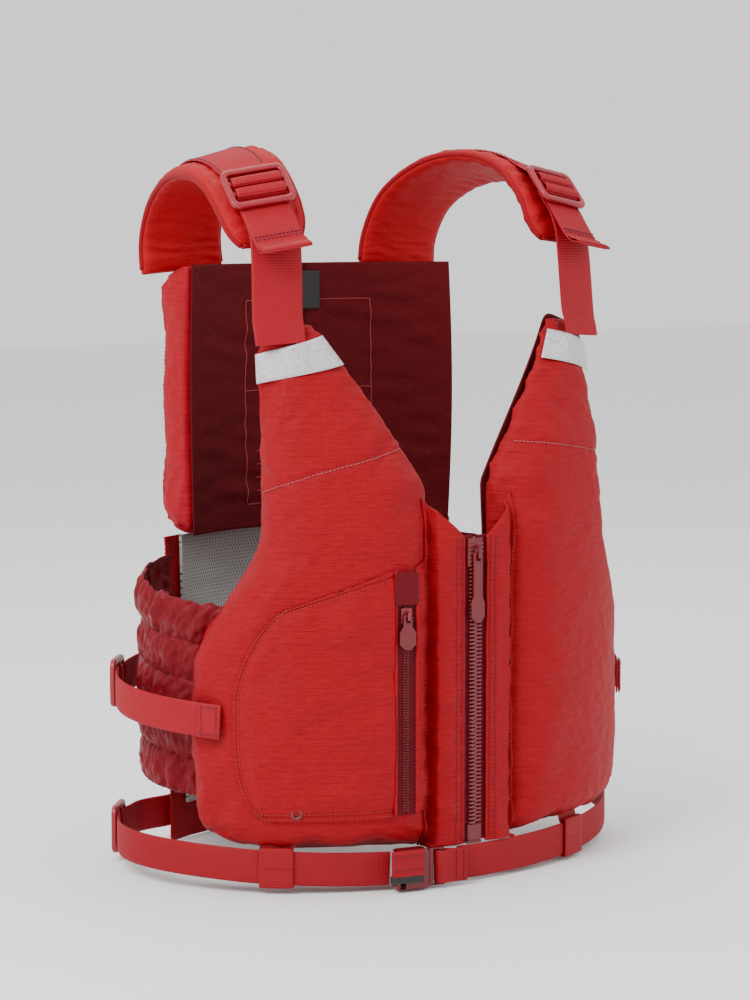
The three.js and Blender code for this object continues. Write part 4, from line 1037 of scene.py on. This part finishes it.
yokeLine = np.array([[100, 118, 446], [102, 117, 470], [106, 100, 500], [114, 62, 522], [122, 18, 528],
                     [128, -22, 519], [130, -50, 496], [130, -66, 470]]) / 1000 + [0, centreY, 0]
yokeRoll = np.array([0, 3, 8, 12, 16, 19, 22, 22.0])
yoke = {"rearWidth": 0.070, "frontWidth": 0.060, "edgeHalf": 0.0018, "middleHalf": 0.0056,
        "taperFrom": 0.9, "endShare": 0.45, "binding": 0.0022, "seamInset": 0.0045}


# a yoke's middle line with its directions along, across and out; rolling outwards as it comes forwards
def yokeFrame(t):
    t = np.atleast_1d(np.asarray(t, float))
    point = curveAt(yokeLine, t)
    step = 1e-3
    forwards = unit(curveAt(yokeLine, np.minimum(t + step, 1)) - curveAt(yokeLine, np.maximum(t - step, 0)))
    roll = np.radians(np.interp(t * 7, np.arange(8), yokeRoll))
    side = np.stack([np.cos(roll), 0 * roll, -np.sin(roll)], -1)
    side = unit(side - (side * forwards).sum(-1, keepdims=True) * forwards)
    return point, forwards, side, np.cross(forwards, side)


def yokeWidth(t):
    taper = np.sqrt(1 - np.clip((t - yoke["taperFrom"]) / 0.115, 0, 1) ** 2)
    return mix(yoke["rearWidth"], yoke["frontWidth"], t) * mix(yoke["endShare"], 1, taper)


mirror = lambda side, p: p * np.array([side, 1, 1])


# A yoke: a rounded flat section along its line, thinner at its bound edges
def yokePiece(side, name):
    t = np.linspace(0, 1, 96)
    point, _, across, out = yokeFrame(t)
    width = yokeWidth(t)
    ring = np.linspace(0, fullTurn, 44, endpoint=False) + math.pi / 44
    s = np.sign(np.cos(ring)) * np.abs(np.cos(ring)) ** 0.62 * 0.5
    inward = np.minimum(0.5 - np.abs(s[None]), 0.5) * width[:, None]
    puff = fullness(inward, 0.009) * fullness(np.minimum(t, 1 - t) * 0.23, 0.012)[:, None]
    half = mix(yoke["edgeHalf"], yoke["middleHalf"], puff)
    tall = np.sign(np.sin(ring))[None] * half
    wide = (s[None] * width[:, None])[..., None]
    grid = point[:, None] + across[:, None] * wide + out[:, None] * tall[..., None]
    u, v = np.meshgrid(s * 0.06, t * 0.26)
    folds = 0.0007 * ripple(u, v, 0.022, 70 + side, 0.5) * puff
    grid = grid + out[:, None] * (np.sign(np.sin(ring))[None] * folds)[..., None]
    vertices, faces, uv = gridPatch(mirror(side, grid), np.stack([u, v], -1), wrap=True)
    m = len(ring)
    near = np.arange(m // 2 - 1)
    lid = np.stack([near, near + 1, m - 2 - near, m - 1 - near], -1)
    faces = np.concatenate([faces, lid, lid + (len(t) - 1) * m])
    obj = build(f"yoke{name}", [(vertices, faces, uv)], yokeCloth)
    place(obj, nodes=(f"shoulder_yoke_{name.lower()}",), slot="shell_fabric")
    rim = [mirror(side, point + across * (k * width / 2)[:, None]) for k in (-1, 1)]
    front = mirror(side, point[-1:] + across[-1:] * np.linspace(-0.5, 0.5, 9)[:, None] * width[-1])
    binding = build(f"yokeBinding{name}",
                    [tube(r, yoke["binding"], 0.003, 10) for r in (rim[0][2:], rim[1][2:], front)],
                    bindingCloth)
    place(binding, slot="shell_fabric")
    for k in (-1, 1):
        line = point + across * (k * (width / 2 - yoke["seamInset"]))[:, None] + out * 0.0049
        seams["plain"].append(stitches(mirror(side, line[4:-6]), mirror(side, out[4:-6])))


shoulderLock = {"place": 0.83, "webOff": 0.0071, "lockOff": 0.0146, "web": 0.038}


def shoulderWebs(side):
    web = shoulderLock["web"]
    point, forwards, _, out = (v[0] for v in yokeFrame(shoulderLock["place"]))
    x, z = mirror(side, forwards), mirror(side, out)
    y, origin = np.cross(z, x), mirror(side, point + out * shoulderLock["lockOff"])
    t = np.linspace(0.03, shoulderLock["place"] - 0.11, 18)
    p, _, _, o = yokeFrame(t)
    lead = mirror(side, p + o * shoulderLock["webOff"])
    sideways = mirror(side, yokeFrame(t)[2])
    path = np.concatenate([lead, along(origin, -x, z, overBar)])
    wide = np.concatenate([sideways * np.sign((sideways @ y))[:, None],
                           np.broadcast_to(y, (len(overBar), 3))])
    webs.append(webbing(path, wide, web, depth=0.0002))
    locks.extend(adjusterPatches(origin, x, y, z, web))
    for k in (-1, 1):
        line = lead + sideways * k * 0.0165 + mirror(side, o) * 0.0010
        threadLists["web"].append(stitches(line, mirror(side, o)))
    under = -webOff - 0.0014 - 0.0004 - 0.0004
    local = lambda u, w: origin + x * u / 1000 + z * w
    rising = [torso(side * 40, h, -d) for h, d in ((0.398, 0.0030), (0.408, 0.0030), (0.415, 0.0026))]
    knots = rising + [local(40, under - 0.004), local(24, under), local(14, under), local(8, under),
                      local(3.6, under + 0.0005), local(1.9, -0.0024), local(1.5, 0)]
    knots += [local(u * 1000, w) for u, w in overBar[3:8][::-1]]
    knots += [local(9.3, 0), local(11, -webOff + 0.0007), local(14, -webOff), local(21, -webOff),
              local(34, -webOff - 0.0008), local(50, -webOff - 0.0008), local(58, -webOff + 0.001),
              local(64, -webOff + 0.006)]
    webs.append(webbing(np.array(knots), y, web, depth=0.0002))
    turned = [local(63, -webOff + 0.0062), local(60, -webOff + 0.0052), local(56, -webOff + 0.0022),
              local(52, -webOff + 0.0012)]
    webs.append(webbing(np.array(turned), y, web, depth=0.0002))
    for u in (44, 47, 53):
        line = np.linspace(local(u, -webOff + 0.0004) - y * 0.017, local(u, -webOff + 0.0004) + y * 0.017,
                           8)
        threadLists["web"].append(stitches(line, np.broadcast_to(z, line.shape)))


for side, name in ((-1, "Right"), (1, "Left")):
    yokePiece(side, name)
    shoulderWebs(side)
sides = ("right", "left")
webPiece = build("webbingStraps", webs, webRed)
place(webPiece, nodes=[f"{n}_{s}"
                       for n in ("side_strap", "side_anchor", "shoulder_webbing", "shoulder_strap")
                       for s in sides], slot="webbing")
beltPiece = build("waistBelt", belts, beltRed)
place(beltPiece, nodes=["waist_belt_right"]
      + [f"{n}_{s}" for n in ("waist_anchor", "belt_loop") for s in sides], slot="webbing")
# the left belt's front end is built as a piece of its own, and the rest stays
leftPiece = build("waistBeltLeft", leftBelt, beltRed)
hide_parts("waist_belt_left")
tuple(torso(27.0, 0.018))
tuple(torso(2.0, 0.018))
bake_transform(leftPiece)
lockPiece = build("adjusters", locks, plasticRed)
place(lockPiece, nodes=[f"{n}_{s}" for n in ("side_adjuster", "waist_adjuster", "shoulder_adjuster")
                        for s in sides], slot="plastic")
print("stage: shoulders and straps")


buckleBase = frameOn(-12.0, 0.0154, 0.002)


def onBuckle(u, v, w):
    origin, x, y, z = buckleBase
    return origin + x * u + y * v + z * w


plugPath = [(31, 0.2), (20, 0.1), (15.3, -3.0), (12.5, -3.8), (8.6, -3.8), (6.6, -2.2), (6.2, 0),
            (6.6, 2.2), (8.6, 3.8),
            (12.5, 3.8), (15.6, 3.0), (20, 2), (31, 2.1)]
plugWeb = build("plugWeb", [webbing(np.array([onBuckle(u / 1000, 0, w / 1000) for u, w in plugPath]),
                                    upwards, 0.0245)], beltRed)
place(plugWeb, "buckle_plug_end", ("buckle_plug_web",), "webbing")
tailPath = [onBuckle(-0.020, v, w) for v, w in
            ((0.0145, 0.0068), (0.0152, 0.0078), (0.0150, 0.0092), (0.006, 0.0097), (-0.003, 0.0097))]
tailBack = [onBuckle(-0.020, v, w) for v, w in ((0.0145, 0.0076), (0.006, 0.0078), (-0.003, 0.0078))]
tail = build("beltTail", [webbing(np.array(p), buckleBase[1], 0.025) for p in (tailPath, tailBack)],
             beltRed)
place(tail, nodes=("belt_tail",), slot="webbing")
z = buckleBase[3]
for v in (0.012, 0.002):
    line = np.linspace(onBuckle(-0.030, v, 0.0106), onBuckle(-0.010, v, 0.0106), 8)
    threadLists["belt"].append(stitches(line, np.broadcast_to(z, line.shape)))
line = np.linspace(onBuckle(0.022, -0.010, 0.0031), onBuckle(0.022, 0.010, 0.0031), 8)
for shift in (0, 0.006):
    stitchLine = build(f"plugStitch{int(shift * 1000)}",
                       [stitches(line + buckleBase[1] * shift, np.broadcast_to(z, line.shape))], darkThread)
    place(stitchLine, "buckle_plug_end")
print("stage: buckle webbing")


lowerBack = {"hemTop": 0.037, "bandBottom": 0.146, "bandTop": 0.171, "top": 0.2415, "border": 0.025,
             "meshDepth": 0.018, "belly": 0.0075, "lowerBelly": 0.002}


# half of the lower back in degrees: it widens evenly from the ground to the pad
def meshHalf(height):
    return mix(40.5, 43, height / lowerBack["top"])


# The spacer mesh: it bellies out above the cross band and creases under the pad
def spacerGrid():
    s, h = np.meshgrid(np.linspace(-1, 1, 150), np.linspace(0.029, lowerBack["top"], 130))
    inset = 0.019 * perMetre
    angle = 180 + s * (meshHalf(h) - inset)
    side = 1 - np.abs(s) ** 3
    belly = lowerBack["belly"] * np.sin(math.pi * share(h, lowerBack["bandTop"], lowerBack["top"])) * side
    below = share(h, lowerBack["hemTop"], lowerBack["bandBottom"])
    belly += lowerBack["lowerBelly"] * np.sin(math.pi * below) * side
    crease = 0.0012 * ripple(s * 0.15, h, 0.035, 81, 0.45) * side * share(h, 0.16, 0.23)
    crease += 0.0004 * ripple(s * 0.15, h, 0.03, 82) * side
    return torso(angle, h, lowerBack["meshDepth"] - belly - crease)


# a strip sewn on the lower back: crowned across its width as half a sine, with soft random folds
def backStrip(low, high, bottom, top, depth, across, rows, seed, fold=0.0004):
    s, t = np.meshgrid(np.linspace(0, 1, across), np.linspace(0, 1, rows))
    h = mix(bottom, top, t)
    half = meshHalf(h)
    angle = mix(low(half), high(half), s)
    crown = 0.0006 * np.sin(math.pi * s) + fold * ripple(np.radians(angle) * 0.19, h, 0.02, seed)
    return torso(180 + angle, h, depth - crown)


inset = lowerBack["border"] * perMetre
top = lowerBack["top"]
strips = {
    "backStripLeft": ("lower_back_strip_left",
                      backStrip(lambda h: -h, lambda h: inset - h, 0.0374, top, 0.0150, 14, 90, 83)),
    "backStripRight": ("lower_back_strip_right",
                       backStrip(lambda h: h - inset, lambda h: h, 0.0374, top, 0.0150, 14, 90, 84)),
    "backHem": ("lower_back_hem",
                backStrip(lambda h: -h, lambda h: h, 0.0004, lowerBack["hemTop"], 0.0148, 120, 18, 85)),
    "crossBand": ("lower_back_cross_band",
                  backStrip(lambda h: inset * 1.02 - h, lambda h: h - inset * 1.02,
                            lowerBack["bandBottom"], lowerBack["bandTop"], 0.0146, 110, 14, 86)),
}
for name, (node, grid) in strips.items():
    sheetPiece(name, grid, shell, 0.0014, (node,), "shell_fabric")
sheetPiece("lowerMesh", spacerGrid(), spacer, 0.0022, ("lower_back_mesh",), "spacer_mesh")


# a line of stitches up the lower back, at the angles that a rule gives for its half width
def stripSeam(angleOf, heights, depth=0.0135):
    h = np.asarray(heights, float)
    a = 180 + angleOf(meshHalf(h))
    return stitches(torso(a, h, depth), outward(a))


rise = np.linspace(0.040, 0.238, 50)
for edge in (1, -1):
    for inner in (0.0022, 0.0228):
        seams["plain"].append(stripSeam(lambda h: edge * (h - inner * perMetre), rise))
over = np.linspace(-40.5, 40.5, 60)
for height in (0.0335, 0.0295, 0.004):
    seams["plain"].append(stitches(torso(180 + over, 0 * over + height, 0.0133), outward(180 + over)))
over = np.linspace(-34.5, 34.5, 60)
for height in (0.1485, 0.1685):
    seams["plain"].append(stitches(torso(180 + over, 0 * over + height, 0.0131), outward(180 + over)))
print("stage: lower back")


sidePanel = {"rows": 5, "puff": 0.0042, "ruffle": 0.0023, "bulge": 0.005}


# A gathered side panel: puffs between level elastic channels, ruffled along its length
def sideGrid(side):
    s, t = np.meshgrid(np.linspace(0, 1, 190), np.linspace(0, 1, 150))
    h = mix(mix(0.064, 0.076, s), mix(0.205, 0.229, s), t)
    angle = mix(armholeAngle(h) - 2.0, 180 - 43.6 + 1.5, s)
    rows = sidePanel["rows"]
    band = t * rows
    puff = np.abs(np.sin(math.pi * band)) ** 0.6
    length = s * 0.19
    row = np.floor(np.clip(band, 0, rows - 1e-6)).astype(int)
    ruffle = np.zeros_like(s)
    for k in range(rows):
        ruffle = np.where(row == k, ripple(length, t * 0.03, 0.019, 90 + 7 * k + side, 1.5), ruffle)
    lift = sidePanel["puff"] * puff + sidePanel["ruffle"] * ruffle * puff
    lift = lift + 0.0006 * ripple(length, t * 0.15, 0.008, 95 + side)
    bulge = sidePanel["bulge"] * np.sin(math.pi * s)
    return torso(side * angle, h + 0.0012 * ruffle * (t > 0.9), mix(0.024, 0.017, s) - bulge - lift + 0.003)


for side, name in ((-1, "Right"), (1, "Left")):
    grid = sideGrid(side)
    sheetPiece(f"sidePanel{name}", grid, satin, 0.0014, (f"side_panel_{name.lower()}",),
               "stretch_fabric")
print("stage: side panels")


# points of a polyline of angles and heights, evenly spaced and laid on a front cover
def onCover(side, knots, count=70, lift=0.0003):
    knots = np.asarray(knots, float)
    run = np.r_[0, np.cumsum(np.hypot(np.diff(knots[:, 0]) * 0.0033, np.diff(knots[:, 1])))]
    even = np.linspace(0, run[-1], count)
    return skins[side].at(np.interp(even, run, knots[:, 0]), np.interp(even, run, knots[:, 1]), lift)


for side, name in ((-1, "Right"), (1, "Left")):
    s, t = np.meshgrid(np.linspace(0.03, 0.97, 40), np.linspace(0, 1, 12))
    height = 0.369 + 0.014 * (1 - s) + 0.021 * t
    angle = side * mix(neckAngle(height), armholeAngle(height), s)
    skin, _ = skins[side].at(angle, height, 0.0, 0.004)
    depth = ((torso(angle, height) - skin) * outward(angle)).sum(-1)
    curve = np.polynomial.Polynomial.fit(s.ravel(), depth.ravel(), 4)(s)
    grid = torso(angle, height, np.minimum(curve, 0.012) - 0.0022)
    sheetPiece(f"reflectiveBand{name}", grid, silver, 0.0007,
               (f"reflective_band_{name.lower()}",), "reflective")
    for row in (1, 10):
        line = grid[row, 1:-1]
        out = outward(angle[row, 1:-1])
        seams["white"].append(stitches(line + out * 0.0005, out))
    line, out = onCover(side, seamLines[side])
    seams["pale"].append(stitches(line, out))
for edge in (1, -1):
    line, out = backSkin.at(180 + edge * np.full(40, 38.0), np.linspace(0.25, 0.432, 40), 0.0003)
    seams["plain"].append(stitches(line, out))


zipAngle, zipHalf = -17.6, 0.0085 * perMetre
pocket = {"bottom": 0.0545, "edgeFrom": 0.054, "edgeTo": 0.214, "innerTop": 0.236, "outerTop": 0.210,
          "lift": 0.0032, "soft": 0.02}


# the pocket's outer edge: a superellipse in height, drawn in towards its top
def pocketEdge(height):
    t = share(height, pocket["edgeFrom"], pocket["edgeTo"])
    return -mix(46, 56, np.sqrt(1 - np.abs(2 * t - 1) ** 3.2)) + 5 * ease((t - 0.55) / 0.45)


# The pocket front: laid on the cover, lifting towards its middle, with soft random folds
def pocketGrid():
    s, t = np.meshgrid(spaced(90), spaced(110))
    top = mix(pocket["innerTop"], pocket["outerTop"], s)
    height = mix(pocket["bottom"], top, t)
    edge = pocketEdge(mix(pocket["edgeFrom"], pocket["edgeTo"], t))
    angle = mix(zipAngle - zipHalf, edge, s)
    skin, _ = skins[-1].at(angle, height, 0.0, 0.0)
    rim = np.minimum(np.minimum(t, 1 - t) * 0.17, (1 - s) * 0.13)
    lift = 0.0010 + pocket["lift"] * ease(rim / pocket["soft"])
    lift += 0.0010 * ripple(s * 0.13, t * 0.17, 0.045, 101, 1.3) * ease(rim / pocket["soft"])
    lift -= 0.0007 * np.exp(-((rim - 0.0045) / 0.0016) ** 2)
    base = torso(angle, height, 0.0)
    depth = ((base - skin) * outward(angle)).sum(-1)
    calm = mix(np.minimum(depth, 0.004), depth, 1 - ease(rim / pocket["soft"]))
    return torso(angle, height, calm - lift)


pocketFace = sheetPiece("pocketFront", pocketGrid(), shell, 0.0013, ("pocket_front",),
                        "shell_fabric")


# The strip between the pocket zip and the placket
def facingGrid():
    s, t = np.meshgrid(np.linspace(0, 1, 34), np.linspace(0, 1, 120))
    height = mix(0.057, mix(0.243, 0.237, s), t)
    angle = mix(-angleAcross(0.036), zipAngle + zipHalf, s)
    skin, _ = skins[-1].at(angle, height, 0.0, 0.0)
    lift = 0.0012 + 0.0022 * ease(s / 0.5) * ease(np.minimum(t, 1 - t) / 0.1)
    lift += 0.0005 * ripple(s * 0.03, t * 0.18, 0.02, 105)
    depth = ((torso(angle, height) - skin) * outward(angle)).sum(-1)
    return torso(angle, height, depth - lift)


sheetPiece("pocketFacing", facingGrid(), shell, 0.0013, ("pocket_facing",), "shell_fabric")
pocketSkin = Surface(pocketFace)
t = np.linspace(0.01, 0.99, 90)
for inner in (0.018, 0.045):
    edge = pocketEdge(mix(pocket["edgeFrom"], pocket["edgeTo"], t))
    height = mix(pocket["bottom"], 0.210 + 0.026 * inner, t)
    line, out = pocketSkin.at(mix(zipAngle - zipHalf, edge, 1 - inner), height, 0.0003)
    seams["plain"].append(stitches(line, out))
s = np.linspace(0.02, 0.98, 50)
for level in (0.013, 1 - 0.013, 0.036, 1 - 0.036):
    edge = pocketEdge(pocket["edgeFrom"] + 0.16 * level)
    height = mix(pocket["bottom"], mix(pocket["innerTop"], pocket["outerTop"], s), level)
    line, out = pocketSkin.at(mix(zipAngle - zipHalf, edge, s), height, 0.0003)
    seams["plain"].append(stitches(line, out))

# the pocket zip: two tapes with a coil between them, in a lens between the two edges
origin, x, y, z = frameOn(zipAngle, 0.0, -0.0027)
tapes = []
for side in (-1, 1):
    across, up = np.meshgrid(np.linspace(0.0006, 0.0083, 8) * side, np.linspace(0.057, 0.233, 80))
    tapes.append(gridPatch(origin + x * across[..., None] + y * up[..., None] + z * 0.0002))
tape = build("pocketTape", tapes, tapeCloth)
solid(tape, 0.0008)
place(tape, nodes=("pocket_zip_tape",), slot="zip_tape")
turn = np.arange(0, fullTurn * 88, math.pi / 8)
coils = []
for side in (-1, 1):
    lift = np.linspace(0.060, 0.230, len(turn))
    sideways = (side * 0.0012 + 0.0011 * np.cos(turn))[:, None]
    path = origin + x * sideways + y * lift[:, None] + z * (0.0013 + 0.0009 * np.sin(turn))[:, None]
    ring = np.linspace(0, fullTurn, 5, endpoint=False)
    section = np.stack([0.00042 * np.cos(ring), 0.00042 * np.sin(ring)], -1)
    coils.append(sweep(path, np.broadcast_to(y, path.shape), section, cap=False))
place(build("pocketCoil", coils, toothPlastic), slot="zip_plastic")

# the rolled edges beside the pocket zip
rolls = []
for side in (-1, 1):
    h = np.linspace(0.057, 0.236, 50)
    face = pocketSkin if side < 0 else skins[-1]
    path = origin + x * side * 0.0082 + y * h[:, None] + z * 0.0022
    rolls.append(tube(path, 0.0014, 0.003, 8))
    seams["dark"].append(stitches(origin + x * side * 0.0068 + y * h[:, None] + z * 0.0008,
                                  np.broadcast_to(z, path.shape)))
place(build("pocketLips", rolls, shell), slot="shell_fabric")
soften("pocketGarage", "pocket_zip_garage", tapeCloth, 0.0004, slot="zip_tape")
soften("drainEyelet", "drain_eyelet", plasticDark, 0.0003, slot="dark_plastic")
soften("neckTag", "neck_tag", rubber, 0.0004, slot="label")
print("stage: pocket")

threadMaterials = {"dark": darkThread, "pale": paleThread, "plain": thread, "white": whiteThread}
for tone, patches in seams.items():
    if patches:
        place(build(f"stitching_{tone}", patches, threadMaterials[tone]))
for tone, patches in threadLists.items():
    place(build(f"stitching_{tone}", patches, purpleThread if tone == "web" else darkThread))
print("stage: stitching")

studio = {"sky": 1.15, "floor": tint(244, 244, 244), "floorDrop": 0.001, "lens": 102.8,
          "camera": (-33, 6, 2.2)}
lamps = {"key": (-70, 40, 2.0, 0.9, 34), "fill": (40, 25, 2.2, 1.6, 9), "top": (150, 70, 2.0, 1.4, 16)}

low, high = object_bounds()
middle = (Vector(low) + Vector(high)) / 2
bpy.ops.mesh.primitive_plane_add(size=14, location=(0, 0, low[2] - studio["floorDrop"]))
floor = bpy.context.object
floor.name = "floor"
floor.data.materials.append(Shader("floorPaper", studio["floor"], 0.9).material)

world = bpy.data.worlds.new("studio")
bpy.context.scene.world = world
world.use_nodes = True
world.node_tree.nodes["Background"].inputs[0].default_value = (1, 1, 1, 1)
world.node_tree.nodes["Background"].inputs[1].default_value = studio["sky"]


# puts an object round the vest's middle at an azimuth, an elevation and a distance, looking at the middle
def aim(obj, azimuth, elevation, away):
    a, e = math.radians(azimuth), math.radians(elevation)
    bpy.context.scene.collection.objects.link(obj)
    obj.location = middle + Vector((math.sin(a) * math.cos(e), -math.cos(a) * math.cos(e),
                                    math.sin(e))) * away
    obj.rotation_euler = (middle - obj.location).to_track_quat("-Z", "Y").to_euler()


for name, (azimuth, elevation, away, size, power) in lamps.items():
    lamp = bpy.data.lights.new(name, "AREA")
    lamp.size, lamp.energy = size, power
    aim(bpy.data.objects.new(name, lamp), azimuth, elevation, away)

camera = bpy.data.cameras.new("camera")
camera.lens = studio["lens"]
viewer = bpy.data.objects.new("camera", camera)
aim(viewer, *studio["camera"])
bpy.context.scene.camera = viewer

print("stage: ready")
